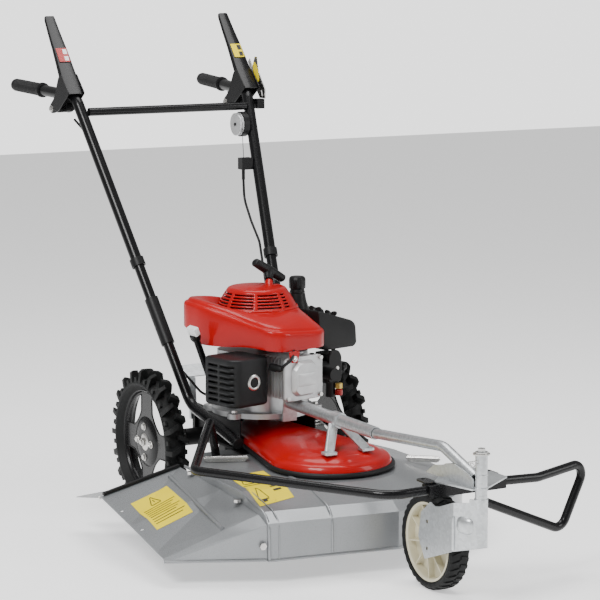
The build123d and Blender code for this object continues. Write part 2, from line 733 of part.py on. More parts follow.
def shroud_outline(inset):
    """Plan of the engine's shroud, shrunk by inset."""
    with BuildSketch() as plan:
        Polygon(*[(u, -v) for u, v in SHROUD], align=None)
        fillet(plan.vertices(), 14)
        offset(amount=-inset - 0.01)
    return plan.sketch


shroud_levels = (((SHROUD_Z, 0), (448, 0), (DOME_Z + 6, 42)), ((SHROUD_Z - 2, 2), (446, 2), (DOME_Z + 4, 44)))
shroud_sheets = [
    (mode, [(z, shroud_outline(inset)) for z, inset in levels])
    for mode, levels in zip((Mode.ADD, Mode.SUBTRACT), shroud_levels)
]
with BuildPart() as shroud:
    for mode, outlines in shroud_sheets:
        for lower, upper in pairwise(outlines):
            for z, outline in (lower, upper):
                with BuildSketch(engine_level(z)):
                    add(outline)
            loft(mode=mode)
    with BuildSketch(engine_level(430, DOME_U)):
        Circle(DOME_R - 4)
    extrude(amount=80, mode=Mode.SUBTRACT)
put(shroud.part, "engine_shroud")

ROPE_FOOT = ENGINE.from_local_coords(Vector(12, -10, DOME_TOP - 6))
BAR_DIR = Vector(0.874 * ENGINE.x_dir.X, 0.874 * ENGINE.x_dir.Y, -0.485)
PULL = (ENGINE.x_dir * 0.42 + ENGINE.y_dir * 0.5 + Vector(0, 0, 0.757)).normalized()
with BuildPart() as dome:
    with BuildSketch(Plane(origin=engine_level(0, DOME_U).origin, x_dir=ENGINE.x_dir, z_dir=-ENGINE.y_dir)):
        Polygon(
            (DOME_R, DOME_Z + 6.2), (DOME_R - 1, DOME_Z + 12), (DOME_TOP_R + 4, DOME_TOP - 4), (DOME_TOP_R, DOME_TOP),
            (0, DOME_TOP + 3), (0, DOME_TOP), (DOME_TOP_R - 2, DOME_TOP - 3), (DOME_TOP_R, DOME_TOP - 6),
            (DOME_R - 6, DOME_Z + 6.2), align=None)
    revolve(axis=Axis(engine_level(0, DOME_U).origin, (0, 0, 1)))
    # rope guide
    with BuildSketch(Plane(origin=ROPE_FOOT, z_dir=PULL)):
        Circle(9)
    extrude(amount=24)
    with BuildSketch(Plane(origin=ROPE_FOOT - PULL * 10, z_dir=PULL)):
        Circle(3)
    extrude(amount=60, mode=Mode.SUBTRACT)
put(dome.part, "starter_dome")

with BuildPart() as grip:
    centre = ROPE_FOOT + PULL * 50
    with BuildSketch(Plane(origin=centre - BAR_DIR * 50, z_dir=BAR_DIR)):
        Ellipse(11, 10)
    extrude(amount=100)
    fillet(grip.edges(), 7)
    with BuildSketch(Plane(origin=ROPE_FOOT + PULL * 24.5, z_dir=PULL)):
        Circle(7)
    extrude(amount=22)
    with BuildSketch(Plane(origin=ROPE_FOOT - PULL * 44, z_dir=PULL)):
        Circle(2)
    extrude(amount=90)
put(grip.part, "starter_grip")

TANK_UV = (137, -40)
NECK_UV = (117, -12)
with BuildPart() as tank:
    with BuildSketch(engine_level(384, *TANK_UV)):
        RectangleRounded(104, 112, 24)
    extrude(amount=74)
    fillet(tank.faces().sort_by(Axis.Z)[-1].edges(), 10)
    with BuildSketch(engine_level(456, *NECK_UV)):
        Circle(26)
    with BuildSketch(engine_level(510, *NECK_UV)):
        Circle(16)
    loft()
    with BuildSketch(engine_level(470, *NECK_UV)):
        Circle(12)
    extrude(amount=60, mode=Mode.SUBTRACT)
put(tank.part, "fuel_tank")

with BuildPart() as fuel_cap:
    with BuildSketch(engine_level(510.2, *NECK_UV)):
        Circle(22)
    extrude(amount=29)
    fillet(fuel_cap.faces().sort_by(Axis.Z)[-1].edges(), 7)
    with BuildSketch(engine_level(492, *NECK_UV)):
        Circle(11.6)
    extrude(amount=18.4)
put(fuel_cap.part, "fuel_cap")

with BuildPart() as air_cleaner:
    with BuildSketch(engine_front(30)):
        Polygon((77, 468), (79, 479), (184, 443), (196, 432), (199, 386), (192, 379), (96, 379), (84, 392), (84, 462),
                align=None)
    extrude(amount=76)
    fillet(air_cleaner.edges().filter_by(Axis((0, 0, 0), ENGINE.y_dir)), 4)
put(air_cleaner.part, "air_cleaner")

CLEANER_FALL = (479 - 443) / (184 - 79)
with BuildPart() as knobs:
    for u in (106, 154):
        seat = engine_front(60, u, 479 - (u - 79) * CLEANER_FALL + 0.3)
        out = Plane(origin=seat.origin, x_dir=-seat.z_dir, z_dir=seat.y_dir + seat.x_dir * CLEANER_FALL)
        with BuildSketch(out):
            Circle(8)
        extrude(amount=7)
        with BuildSketch(out.offset(3)):
            RectangleRounded(9, 36, 4)
        extrude(amount=9)
put(knobs.part, "air_cleaner_knobs")

with BuildPart() as carburettor:
    with BuildSketch(engine_level(308, 106, 104)):
        RectangleRounded(40, 44, 8)
    extrude(amount=68)
    with BuildSketch(engine_front(104, 60, 340)):
        Circle(14)
    with BuildSketch(Plane(origin=ENGINE.from_local_coords(Vector(8, -122, 345)), x_dir=-ENGINE.y_dir, z_dir=ENGINE.x_dir)):
        Circle(15)
    extrude(amount=80)
    with BuildSketch(engine_level(274, 106, 116)):
        Circle(11)
    extrude(amount=34)
put(carburettor.part, "carburettor")

with BuildPart() as oil_filler:
    low, high = ENGINE.from_local_coords(Vector(-150, 2, 324.4)), ENGINE.from_local_coords(Vector(-199, -6, 430))
    with BuildSketch(Plane(origin=low, z_dir=high - low)):
        Circle(9)
    extrude(amount=(high - low).length)
    with BuildSketch(Plane(origin=high, z_dir=high - low)):
        Circle(13)
    extrude(amount=10)
    with BuildSketch(Plane(origin=high + (high - low).normalized() * 10, z_dir=high - low, x_dir=ENGINE.y_dir)):
        RectangleRounded(32, 15, 5)
    extrude(amount=20)
put(oil_filler.part, "oil_filler")

# ---------------------------------------------------------------- handle
LEVER_X_MID = 238.5
GRIP_LENGTH = 150
with BuildPart() as lower_tubes:
    for hand in (1, -1):
        route = [mirrored(p, hand) for p in (HANDLE_JOINT, HANDLE_LOW, (134, -250, 200))]
        route[0] += (route[1] - route[0]).normalized() * 0.5
        add(bent_tube(route, 60, LOWER_R, TUBE_WALL).part)
put(lower_tubes.part, "handle_lower_tubes")

for hand, word in ((1, "left"), (-1, "right")):
    joint, bend, end = (mirrored(p, hand) for p in (HANDLE_JOINT, HANDLE_BEND, GRIP_END))
    bar_dir = (end - bend).normalized()
    with BuildPart() as upper:
        with BuildLine() as route:
            FilletPolyline(joint, bend, end - bar_dir * GRIP_LENGTH * 0.1, radius=42)
        with BuildSketch(Plane(origin=route.line @ 0, z_dir=route.line % 0)):
            Circle(UPPER_R)
            Circle(UPPER_R - TUBE_WALL, mode=Mode.SUBTRACT)
        sweep()
        # bracket under the bar that carries the control lever's pin
        with BuildSketch(side(hand * LEVER_X_MID - 8)):
            Polygon((424, 934), (505, 934), (500, 900), (482, 898), (430, 904), align=None)
            with Locations((434, 915)):
                Circle(13)
            with Locations((PIVOT_Y, PIVOT_Z)):
                Circle(4 + RUN_FIT, mode=Mode.SUBTRACT)
        extrude(amount=16)
    put(upper.part, f"handle_upper_{word}")

    with BuildPart() as lever:
        with BuildSketch(side(hand * LEVER_X_MID - 21.5)):
            Polygon(
                (346, 950), (533, 1134), (541, 1126), (500, 1078), (462, 1000), (505, 912), (500, 898), (482, 898),
                (420, 944), (360, 938), align=None)
        extrude(amount=43)
        # hollow it into a channel, open below
        with BuildSketch(side(hand * LEVER_X_MID - 19)):
            Polygon(
                (300, 899.8), (533, 1131), (560, 1140), (600, 900), (490, 880), align=None)
        extrude(amount=38, mode=Mode.SUBTRACT)
        # taper towards the top
        for flank in (-1, 1):
            with BuildSketch(Plane(origin=at(hand * LEVER_X_MID, 346, 950), x_dir=(1, 0, 0), z_dir=(0, -0.7013, 0.7129))):
                Polygon((flank * 21.5, 60), (flank * 13, 262), (flank * 13, 300), (flank * 30, 300), (flank * 30, 60),
                        align=None)
            extrude(amount=40, both=True, mode=Mode.SUBTRACT)
        with BuildSketch(side(hand * LEVER_X_MID - 23.5, PIVOT_Y, PIVOT_Z)):
            Circle(4)
        extrude(amount=47)
        with BuildSketch(side(hand * LEVER_X_MID - 25.5, PIVOT_Y, PIVOT_Z)):
            RegularPolygon(8, 6)
        extrude(amount=4)
    put(lever.part, f"control_lever_{word}")

with BuildPart() as sleeves:
    for hand in (-1, 1):
        joint, low = mirrored(HANDLE_JOINT, hand), mirrored(HANDLE_LOW, hand)
        down = (low - joint).normalized()
        for start, length, radius in ((-10, 20, 17), (95, 118, 16)):
            with BuildSketch(Plane(origin=joint + down * start, z_dir=down)):
                Circle(radius)
                Circle(UPPER_R + 0.3 if start < 0 else LOWER_R + 0.02, mode=Mode.SUBTRACT)
            extrude(amount=length)
put(sleeves.part, "handle_sleeves")

with BuildPart() as grips:
    for hand in (-1, 1):
        bend, end = mirrored(HANDLE_BEND, hand), mirrored(GRIP_END, hand)
        back = (end - bend).normalized()
        with BuildSketch(Plane(origin=end - back * GRIP_LENGTH, z_dir=back)):
            Circle(16)
        extrude(amount=GRIP_LENGTH)
        with BuildSketch(Plane(origin=end - back * GRIP_LENGTH, z_dir=back)):
            Circle(18.5)
        extrude(amount=9)
        with BuildSketch(Plane(origin=end - back * (GRIP_LENGTH + 1), z_dir=back)):
            Circle(UPPER_R + 0.02)
        extrude(amount=GRIP_LENGTH * 0.9 + 1.5, mode=Mode.SUBTRACT)
put(grips.part, "grips")

with BuildPart() as crossbar:
    with BuildSketch(side(-212.4, 372, CROSSBAR_Z)):
        Circle(10)
    extrude(amount=424.8)
    # box bracket through the left tube, which carries the throttle plate
    with BuildSketch(side(244.4, 380, CROSSBAR_Z + 4)):
        Rectangle(26, 24)
    extrude(amount=20.4)
put(crossbar.part, "crossbar")

with BuildPart() as throttle_plate:
    with BuildSketch(side(265)):
        Polygon((366, 922), (394, 922), (428, 960), (432, 1000), (420, 1024), (408, 1024), (398, 984), (366, 944),
                align=None)
        with Locations((382, 934)):
            SlotOverall(16, 5, mode=Mode.SUBTRACT, rotation=70)
    extrude(amount=2.5)
    with BuildSketch(side(265, 409, 948)):
        Circle(3)
    extrude(amount=7)
put(throttle_plate.part, "throttle_plate")

with BuildPart() as throttle_lever:
    with BuildSketch(side(267.8)):
        Polygon((404, 950), (414, 944), (462, 1010), (454, 1018), align=None)
        with Locations((409, 948)):
            Circle(9)
            Circle(3 + RUN_FIT, mode=Mode.SUBTRACT)
    extrude(amount=2.5)
put(throttle_lever.part, "throttle_lever")

with BuildPart() as pulley_housing:
    with BuildSketch(side(190, *PULLEY_YZ)):
        Circle(31)
    extrude(amount=14)
    with BuildSketch(side(196)):
        Polygon((345, 880), (372, 880), (364, 842), (335, 842), align=None)
    extrude(amount=8)
    with BuildSketch(side(176, *PULLEY_YZ)):
        Circle(4)
    extrude(amount=14)
put(pulley_housing.part, "pulley_housing")

with BuildPart() as cable_pulley:
    with BuildSketch(side(178, *PULLEY_YZ)):
        Circle(PULLEY_R)
        Circle(4 + RUN_FIT, mode=Mode.SUBTRACT)
    extrude(amount=3)
    with BuildSketch(side(181, *PULLEY_YZ)):
        Circle(PULLEY_R - 3)
        Circle(4 + RUN_FIT, mode=Mode.SUBTRACT)
    extrude(amount=5)
    with BuildSketch(side(186, *PULLEY_YZ)):
        Circle(PULLEY_R)
        Circle(4 + RUN_FIT, mode=Mode.SUBTRACT)
    extrude(amount=3)
put(cable_pulley.part, "cable_pulley")

with BuildPart() as cable_bracket:
    with BuildSketch(level(756, 178, 306)):
        Rectangle(30, 24)
        Rectangle(25, 19, mode=Mode.SUBTRACT)
    extrude(amount=26)
    with BuildSketch(level(753.5, 178, 306)):
        Rectangle(30, 24)
    extrude(amount=2.5)
    with BuildSketch(level(728, 172, 306)):
        Circle(4)
    extrude(amount=30)
put(cable_bracket.part, "cable_bracket")

SHEATH_R = 3


def beside_tube(z, hand):
    """A cable's point beside a handle tube, on its inner back side."""
    run = (z - HANDLE_LOW[2]) / (HANDLE_JOINT[2] - HANDLE_LOW[2])
    x = HANDLE_LOW[0] + run * (HANDLE_JOINT[0] - HANDLE_LOW[0])
    y = HANDLE_LOW[1] + run * (HANDLE_JOINT[1] - HANDLE_LOW[1])
    return at(hand * (x - 15), y + 21, z)


left_sheath = [at(172, 306, 727.6), at(171, 300, 680), at(167, 256, 630)]
left_sheath += [beside_tube(584, 1), beside_tube(322, 1), at(92, 20, 266), at(36, 8, 236)]
right_sheath = [at(-226, 428, 884), beside_tube(830, -1), beside_tube(322, -1)]
right_sheath += [at(-92, 20, 266), at(-36, 8, 236)]
with BuildPart() as cables:
    add(bent_tube(left_sheath, [60, 60, 60, 60, 30], SHEATH_R).part)
    add(bent_tube(right_sheath, [60, 60, 30], SHEATH_R).part)
    add(bent_tube([at(184, PULLEY_YZ[0] - 25, 852), at(173, 306, 783.2)], 0, 0.8).part)
put(cables.part, "control_cables")

# ---------------------------------------------------------------- bolts of the engine and the chute
with BuildPart() as bolts:
    # down through the engine's flange, into the rails
    for u, v in FLANGE_LOBES:
        with BuildSketch(engine_level(CASE_Z, u, v)):
            RegularPolygon(7, 6)
        extrude(amount=6)
    # at the valve cover's corners
    for du, dz in ((-48, -42), (48, -42), (48, 42), (-48, 42)):
        with BuildSketch(engine_front(COVER_V[0] + 8, HEAD_U + du, HEAD_Z + dz)):
            RegularPolygon(5, 6)
        extrude(amount=5)
    for x, y, z in ((-296, -340, 166), (-296, -560, 151)):
        with BuildSketch(level(z, x, y)):
            RegularPolygon(8, 6)
        extrude(amount=6)
    with BuildSketch(front(-677, -300, 84)):
        RegularPolygon(8, 6)
    extrude(amount=6)
put(bolts.part, "bolts")
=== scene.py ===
import json
import math
from itertools import pairwise

import bmesh
import bpy
from mathutils import Matrix, Vector
from mathutils.bvhtree import BVHTree


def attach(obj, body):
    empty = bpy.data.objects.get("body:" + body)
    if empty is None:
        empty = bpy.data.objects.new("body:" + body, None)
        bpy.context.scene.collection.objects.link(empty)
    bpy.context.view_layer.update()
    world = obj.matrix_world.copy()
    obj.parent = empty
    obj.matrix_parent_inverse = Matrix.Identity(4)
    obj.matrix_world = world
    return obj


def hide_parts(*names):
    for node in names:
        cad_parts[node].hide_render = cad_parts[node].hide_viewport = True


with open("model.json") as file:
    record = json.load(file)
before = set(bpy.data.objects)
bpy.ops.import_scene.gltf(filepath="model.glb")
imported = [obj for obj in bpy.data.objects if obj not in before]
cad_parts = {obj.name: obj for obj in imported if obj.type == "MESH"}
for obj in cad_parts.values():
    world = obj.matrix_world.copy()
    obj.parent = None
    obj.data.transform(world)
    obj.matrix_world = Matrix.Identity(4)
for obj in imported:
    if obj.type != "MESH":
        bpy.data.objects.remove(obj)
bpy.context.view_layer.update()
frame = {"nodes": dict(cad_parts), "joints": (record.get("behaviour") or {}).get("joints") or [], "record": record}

# ---------------------------------------------------------------- frame
# Pieces are laid out in the machine's own millimetres: x = 0 on its plane of symmetry, y = 0 at the
# rear axle, z = 0 on the ground, -y forwards and +x to the operator's left.
MM = 0.001
PIVOT = {joint["name"]: Vector(joint.get("pos_m") or (0, 0, 0)) for joint in frame["joints"]}
AXLE = (PIVOT["wheel_left_spin"] + PIVOT["wheel_right_spin"]) / 2
ORIGIN = Vector((AXLE.x, AXLE.y, 0))
WHEEL_R = AXLE.z / MM
MACHINE = Matrix.Translation(ORIGIN) @ Matrix.Scale(MM, 4)
ENGINE_TURN = math.radians(12)
CRANK = Vector((PIVOT["crank_spin"].x, PIVOT["crank_spin"].y, 0))
# the engine's own millimetres: x along its front, -y along its cylinder
ENGINE = Matrix.Translation(CRANK) @ Matrix.Rotation(ENGINE_TURN, 4, "Z") @ Matrix.Scale(MM, 4)


def mm(value):
    """Metres to machine millimetres, as a place."""
    return MACHINE.inverted() @ Vector(value)


def at(x, y, z):
    """Matrix that moves to a place."""
    return Matrix.Translation((x, y, z))


def turn_about(axis, degrees):
    """Matrix that turns round a main axis."""
    return Matrix.Rotation(math.radians(degrees), 4, axis)


FORWARD = turn_about("X", 90)  # stands a flat piece up, with its face forwards
ALONG_X = turn_about("Y", 90)  # lays a turned piece along x
UPRIGHT = Matrix(((0, 0, 1, 0), (1, 0, 0, 0), (0, 1, 0, 0), (0, 0, 0, 1)))  # a plate's (x, y) becomes (y, z)


def angles(count, turn=math.tau):
    """Angles spaced evenly round a circle, or round part of it."""
    return [turn * k / count for k in range(count)]


def facing(origin, normal, side=(0, 0, 1), base=MACHINE):
    """Matrix in millimetres whose z runs along normal and whose x lies near side."""
    z = Vector(normal).normalized()
    y = z.cross(Vector(side)).normalized()
    x = y.cross(z)
    turn = Matrix((x, y, z)).transposed().to_4x4()
    return base @ Matrix.Translation(Vector(origin)) @ turn


# ---------------------------------------------------------------- materials
def new_surface(name, color, metallic=0.0, roughness=0.5, coat=0.0, coat_roughness=0.05,
                mottle=0.12, mottle_scale=18.0, grain=0.15, grain_scale=900.0, rough_spread=0.08,
                bump_depth=0.00008, specular=0.5):
    """Principled surface whose colour, roughness and relief vary with the object's own position."""
    material = bpy.data.materials.new(name)
    material.use_nodes = True
    nodes, links = material.node_tree.nodes, material.node_tree.links
    shader = nodes["Principled BSDF"]
    shader.inputs["Metallic"].default_value = metallic
    shader.inputs["Coat Weight"].default_value = coat
    shader.inputs["Coat Roughness"].default_value = coat_roughness
    shader.inputs["Specular IOR Level"].default_value = specular
    place = nodes.new("ShaderNodeTexCoord")

    def noise(scale, detail):
        node = nodes.new("ShaderNodeTexNoise")
        node.inputs["Scale"].default_value = scale
        node.inputs["Detail"].default_value = detail
        links.new(place.outputs["Object"], node.inputs["Vector"])
        return node

    def spread(source, low, high):
        # noise seldom leaves the range from 0.3 to 0.7
        node = nodes.new("ShaderNodeMapRange")
        node.inputs["From Min"].default_value = 0.3
        node.inputs["From Max"].default_value = 0.7
        node.inputs["To Min"].default_value = low
        node.inputs["To Max"].default_value = high
        links.new(source, node.inputs["Value"])
        return node.outputs["Result"]

    broad, fine = noise(mottle_scale, 4), noise(grain_scale, 3)
    mix = nodes.new("ShaderNodeMix")
    mix.data_type = "RGBA"
    mix.inputs["A"].default_value = (*[c * (1 - mottle) for c in color], 1)
    mix.inputs["B"].default_value = (*[min(1, c * (1 + mottle)) for c in color], 1)
    links.new(spread(broad.outputs["Fac"], 0, 1), mix.inputs["Factor"])
    links.new(mix.outputs["Result"], shader.inputs["Base Color"])
    low = max(0.02, roughness - rough_spread)
    links.new(spread(fine.outputs["Fac"], low, roughness + rough_spread), shader.inputs["Roughness"])
    bump = nodes.new("ShaderNodeBump")
    bump.inputs["Strength"].default_value = grain
    bump.inputs["Distance"].default_value = bump_depth
    links.new(fine.outputs["Fac"], bump.inputs["Height"])
    links.new(bump.outputs["Normal"], shader.inputs["Normal"])
    return material


def new_galvanised():
    """Zinc coat with its faint crystal spangle."""
    material = new_surface("galvanised", (0.6, 0.62, 0.63), metallic=0.85, roughness=0.36, mottle=0.1,
                           mottle_scale=9, grain=0.25, grain_scale=420, rough_spread=0.07)
    nodes, links = material.node_tree.nodes, material.node_tree.links
    shader = nodes["Principled BSDF"]
    cells = nodes.new("ShaderNodeTexVoronoi")
    cells.inputs["Scale"].default_value = 170
    links.new(nodes["Texture Coordinate"].outputs["Object"], cells.inputs["Vector"])
    gray = nodes.new("ShaderNodeSeparateColor")
    links.new(cells.outputs["Color"], gray.inputs["Color"])
    shade = nodes.new("ShaderNodeMapRange")
    shade.inputs["To Min"].default_value = 0.86
    shade.inputs["To Max"].default_value = 1.06
    links.new(gray.outputs["Red"], shade.inputs["Value"])
    tint = nodes.new("ShaderNodeMix")
    tint.data_type = "RGBA"
    tint.blend_type = "MULTIPLY"
    tint.inputs["Factor"].default_value = 1
    links.new(shader.inputs["Base Color"].links[0].from_socket, tint.inputs["A"])
    links.new(shade.outputs["Result"], tint.inputs["B"])
    links.new(tint.outputs["Result"], shader.inputs["Base Color"])
    return material


RED = new_surface("red_paint", (0.40, 0.0002, 0.0010), roughness=0.36, coat=0.3, coat_roughness=0.04,
                  mottle=0.06, grain=0.1, grain_scale=260, bump_depth=0.00012, rough_spread=0.05,
                  specular=0.15)
DECK = new_surface("deck_paint", (0.27, 0.28, 0.288), metallic=0.5, roughness=0.32, coat=0.3,
                   coat_roughness=0.18, mottle=0.05, mottle_scale=7, grain=0.2, grain_scale=1500)
BLACK = new_surface("black_paint", (0.0045, 0.0045, 0.005), roughness=0.27, coat=0.12, mottle=0.25,
                    grain=0.18, grain_scale=420, rough_spread=0.07, specular=0.22)
MUFFLER = new_surface("muffler_paint", (0.016, 0.0165, 0.0175), metallic=0.2, roughness=0.4, mottle=0.2,
                      grain=0.3, grain_scale=1100, specular=0.2)
ZINC = new_galvanised()
STEEL = new_surface("bright_steel", (0.62, 0.61, 0.59), metallic=1.0, roughness=0.27, mottle=0.12,
                    mottle_scale=60, grain=0.2, grain_scale=1500)
DARK_STEEL = new_surface("dark_steel", (0.045, 0.044, 0.043), metallic=0.7, roughness=0.5, mottle=0.4,
                         mottle_scale=50, grain=0.3)
ALLOY = new_surface("cast_alloy", (0.56, 0.565, 0.57), metallic=0.75, roughness=0.44, mottle=0.1,
                    mottle_scale=30, grain=0.6, grain_scale=1300, bump_depth=0.0002)
CAST = new_surface("cast_black", (0.01, 0.01, 0.0105), roughness=0.45, mottle=0.3, grain=0.6,
                   grain_scale=700, bump_depth=0.0003, specular=0.25)
PLASTIC = new_surface("black_plastic", (0.007, 0.0072, 0.0075), roughness=0.42, mottle=0.12, grain=0.5,
                      grain_scale=1600, bump_depth=0.00012, specular=0.25)
GLOSS = new_surface("gloss_black_plastic", (0.005, 0.005, 0.0055), roughness=0.26, mottle=0.1, grain=0.15,
                    specular=0.3)
BEIGE = new_surface("rim_plastic", (0.60, 0.56, 0.41), roughness=0.5, mottle=0.06, grain=0.3,
                    grain_scale=1200)
GRIP = new_surface("grip_rubber", (0.012, 0.012, 0.0125), roughness=0.55, mottle=0.2, grain=0.5,
                   grain_scale=1300, bump_depth=0.0002, specular=0.25)
RUBBER = new_surface("black_rubber", (0.008, 0.008, 0.0085), mottle=0.2, grain=0.4, bump_depth=0.0002,
                     specular=0.25)
TYRE = new_surface("tyre_rubber", (0.0085, 0.009, 0.009), roughness=0.58, mottle=0.16, mottle_scale=26,
                   grain=0.6, grain_scale=700, bump_depth=0.0003, specular=0.22)
YELLOW = new_surface("yellow_label", (0.84, 0.66, 0.006), roughness=0.45, mottle=0.03, grain=0.1,
                     specular=0.15)
INK = new_surface("label_ink", (0.012, 0.011, 0.008), mottle=0.2, grain=0.1)
WHITE = new_surface("white_plastic", (0.74, 0.75, 0.75), roughness=0.35, mottle=0.04, grain=0.2)
VALVE_RED = new_surface("tap_red", (0.38, 0.006, 0.004), roughness=0.4, mottle=0.1, grain=0.2)
BRASS = new_surface("fuel_brass", (0.55, 0.40, 0.10), metallic=0.6, roughness=0.35, mottle=0.15,
                    grain=0.2)

# what each material slot of the record looks like, and the nodes that look otherwise
SLOT_LOOK = {
    "deck_paint": DECK, "red_paint": RED, "black_paint": BLACK, "muffler_paint": MUFFLER,
    "galvanised": ZINC, "bright_steel": STEEL, "cast_alloy": ALLOY, "cast_black": CAST,
    "black_plastic": PLASTIC, "gloss_black_plastic": GLOSS, "rim_plastic": BEIGE, "grip_rubber": GRIP,
    "black_rubber": RUBBER, "tyre_rubber": TYRE,
}
NODE_LOOK = {
    "crankshaft": DARK_STEEL, "main_frame": CAST, "handle_sleeves": PLASTIC, "rear_flap": DECK,
    "cable_pulley": ALLOY, "cable_bracket": BLACK,
}
for part in frame["record"]["subparts"]:
    node = frame["nodes"][part["node"]]
    look = NODE_LOOK.get(part["node"], SLOT_LOOK[part["material_slot"]])
    node.data.materials.clear()
    node.data.materials.append(look)


# ---------------------------------------------------------------- making pieces
def piece(name, mesh, place, *looks, body="chassis", slot=None, stands_for=(), sharp=38, wall=0):
    """Put a mesh made in millimetres into the scene as a finished piece that rides on a body.

    The slot argument is not used. Edges over sharp degrees stay sharp, and wall thickens an open sheet inwards.
    """
    mesh.transform(place)
    if place.determinant() < 0:
        mesh.flip_normals()
    for look in looks:
        mesh.materials.append(look)
    obj = bpy.data.objects.new(name, mesh)
    bpy.context.scene.collection.objects.link(obj)
    if wall:
        thickness = obj.modifiers.new("wall", "SOLIDIFY")
        thickness.thickness = wall * MM
        thickness.offset = -1
    mesh.shade_smooth()
    mesh.set_sharp_from_angle(angle=math.radians(sharp))
    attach(obj, body)
    if stands_for:
        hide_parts(*stands_for)


def finished(building):
    """Mesh of a bmesh whose faces are turned outwards."""
    bmesh.ops.recalc_face_normals(building, faces=building.faces)
    mesh = bpy.data.meshes.new("built")
    building.to_mesh(mesh)
    building.free()
    return mesh


def skin(rings, closed=True, cap=(True, True), loop=False):
    """Mesh through rings of points, with caps, or with the last ring joined to the first."""
    verts = [tuple(point) for ring in rings for point in ring]
    count, faces = len(rings[0]), []
    pairs = list(pairwise(range(len(rings)))) + ([(len(rings) - 1, 0)] if loop else [])
    for low, high in pairs:
        for k in range(count if closed else count - 1):
            nxt = (k + 1) % count
            faces.append((low * count + k, low * count + nxt, high * count + nxt, high * count + k))
    if cap[0] and not loop:
        faces.append(tuple(reversed(range(count))))
    if cap[1] and not loop:
        faces.append(tuple(range((len(rings) - 1) * count, len(rings) * count)))
    mesh = bpy.data.meshes.new("skin")
    mesh.from_pydata(verts, [], faces)
    tidy = bmesh.new()
    tidy.from_mesh(mesh)
    bmesh.ops.remove_doubles(tidy, verts=tidy.verts, dist=1e-5)
    bmesh.ops.recalc_face_normals(tidy, faces=tidy.faces)
    tidy.to_mesh(mesh)
    tidy.free()
    return mesh


AXIS_R = 0.001  # the radius that closes a turned profile on its axis


def turned(profile, steps=64, loop=False):
    """Mesh of a profile of (radius, height) turned round z."""
    rings = []
    for radius, height in profile:
        rings.append([(radius * math.cos(a), radius * math.sin(a), height) for a in angles(steps)])
    return skin(rings, loop=loop)


def plate(outline, thickness, holes=(), edge=0.6, corner=0.0):
    """Flat sheet with holes and rounded edges, from z = 0 up."""
    curve = bpy.data.curves.new("plate", "CURVE")
    curve.dimensions = "2D"
    curve.fill_mode = "BOTH"
    curve.bevel_depth = edge
    curve.bevel_resolution = 2
    curve.extrude = thickness / 2 - edge
    curve.offset = -edge
    for loop in (rounded(outline, corner), *holes):
        spline = curve.splines.new("POLY")
        spline.points.add(len(loop) - 1)
        for point, (x, y) in zip(spline.points, loop):
            point.co = (x, y, 0, 1)
        spline.use_cyclic_u = True
    obj = bpy.data.objects.new("plate", curve)
    bpy.context.scene.collection.objects.link(obj)
    bpy.context.view_layer.update()
    mesh = bpy.data.meshes.new_from_object(obj.evaluated_get(bpy.context.evaluated_depsgraph_get()))
    bpy.data.objects.remove(obj)
    mesh.materials.clear()
    mesh.transform(Matrix.Translation((0, 0, thickness / 2)))
    return mesh


def corner_arc(before, here, after, radius, steps):
    """Places on the arc that rounds one corner, which takes up to 0.45 of either side."""
    back, ahead = before - here, after - here
    reach = min(radius, back.length * 0.45, ahead.length * 0.45)
    start, end = here + back.normalized() * reach, here + ahead.normalized() * reach
    shares = [step / steps for step in range(steps + 1)]
    return [start * (1 - t) ** 2 + here * 2 * t * (1 - t) + end * t ** 2 for t in shares]


def rounded(outline, radius, steps=5):
    """The closed outline with each corner replaced by an arc of about that radius."""
    if not radius:
        return list(outline)
    places = [Vector(p) for p in outline]
    trios = zip(places[-1:] + places, places, places[1:] + places[:1])
    return [tuple(spot) for trio in trios for spot in corner_arc(*trio, radius, steps)]


def circle(x, y, radius, steps=24):
    """Round hole for a plate."""
    return [(x + radius * math.cos(a), y + radius * math.sin(a)) for a in angles(steps)]


def rod(points, radius, steps=12, closed=False):
    """Round bar along a smooth or straight list of places."""
    places = [Vector(p) for p in points]
    count = len(places)
    rings, side = [], None
    for k, here in enumerate(places):
        ahead = places[(k + 1) % count] if closed or k + 1 < count else here
        behind = places[k - 1] if closed or k else here
        run = (ahead - behind).normalized()
        if side is None:
            side = run.orthogonal()
        side = (side - run * side.dot(run)).normalized()
        other = run.cross(side)
        rings.append([here + (side * math.cos(a) + other * math.sin(a)) * radius for a in angles(steps)])
    return skin(rings, loop=closed)


def smooth_path(points, radius, steps=6):
    """Places along straight runs whose corners are rounded."""
    places = [Vector(p) for p in points]
    trios = zip(places, places[1:], places[2:])
    return [places[0], *(spot for trio in trios for spot in corner_arc(*trio, radius, steps)), places[-1]]


def joined(meshes):
    """One mesh from several, each with its own material index."""
    whole = bmesh.new()
    for mesh in meshes:
        whole.from_mesh(mesh)
    result = bpy.data.meshes.new("joined")
    whole.to_mesh(result)
    whole.free()
    return result


def tinted(mesh, index):
    """The mesh with all its faces on one material index."""
    mesh.polygons.foreach_set("material_index", [index] * len(mesh.polygons))
    return mesh


def moved(mesh, matrix):
    """The mesh moved by a matrix."""
    mesh.transform(matrix)
    if matrix.determinant() < 0:
        mesh.flip_normals()
    return mesh


def hexagon_bolt(radius, height, washer=0.0):
    """Hexagon head with a chamfered top, on a washer."""
    head = [(AXIS_R, 0), (radius, 0), (radius, height * 0.8), (radius * 0.86, height),
            (radius * 0.5, height), (radius * 0.46, height * 0.9), (AXIS_R, height * 0.9)]
    meshes = [turned(head, 6)]
    if washer:
        disc = [(AXIS_R, -1), (washer, -1), (washer, 0.6), (washer - 0.5, 1), (AXIS_R, 1)]
        meshes.append(turned(disc, 28))
    return joined(meshes)


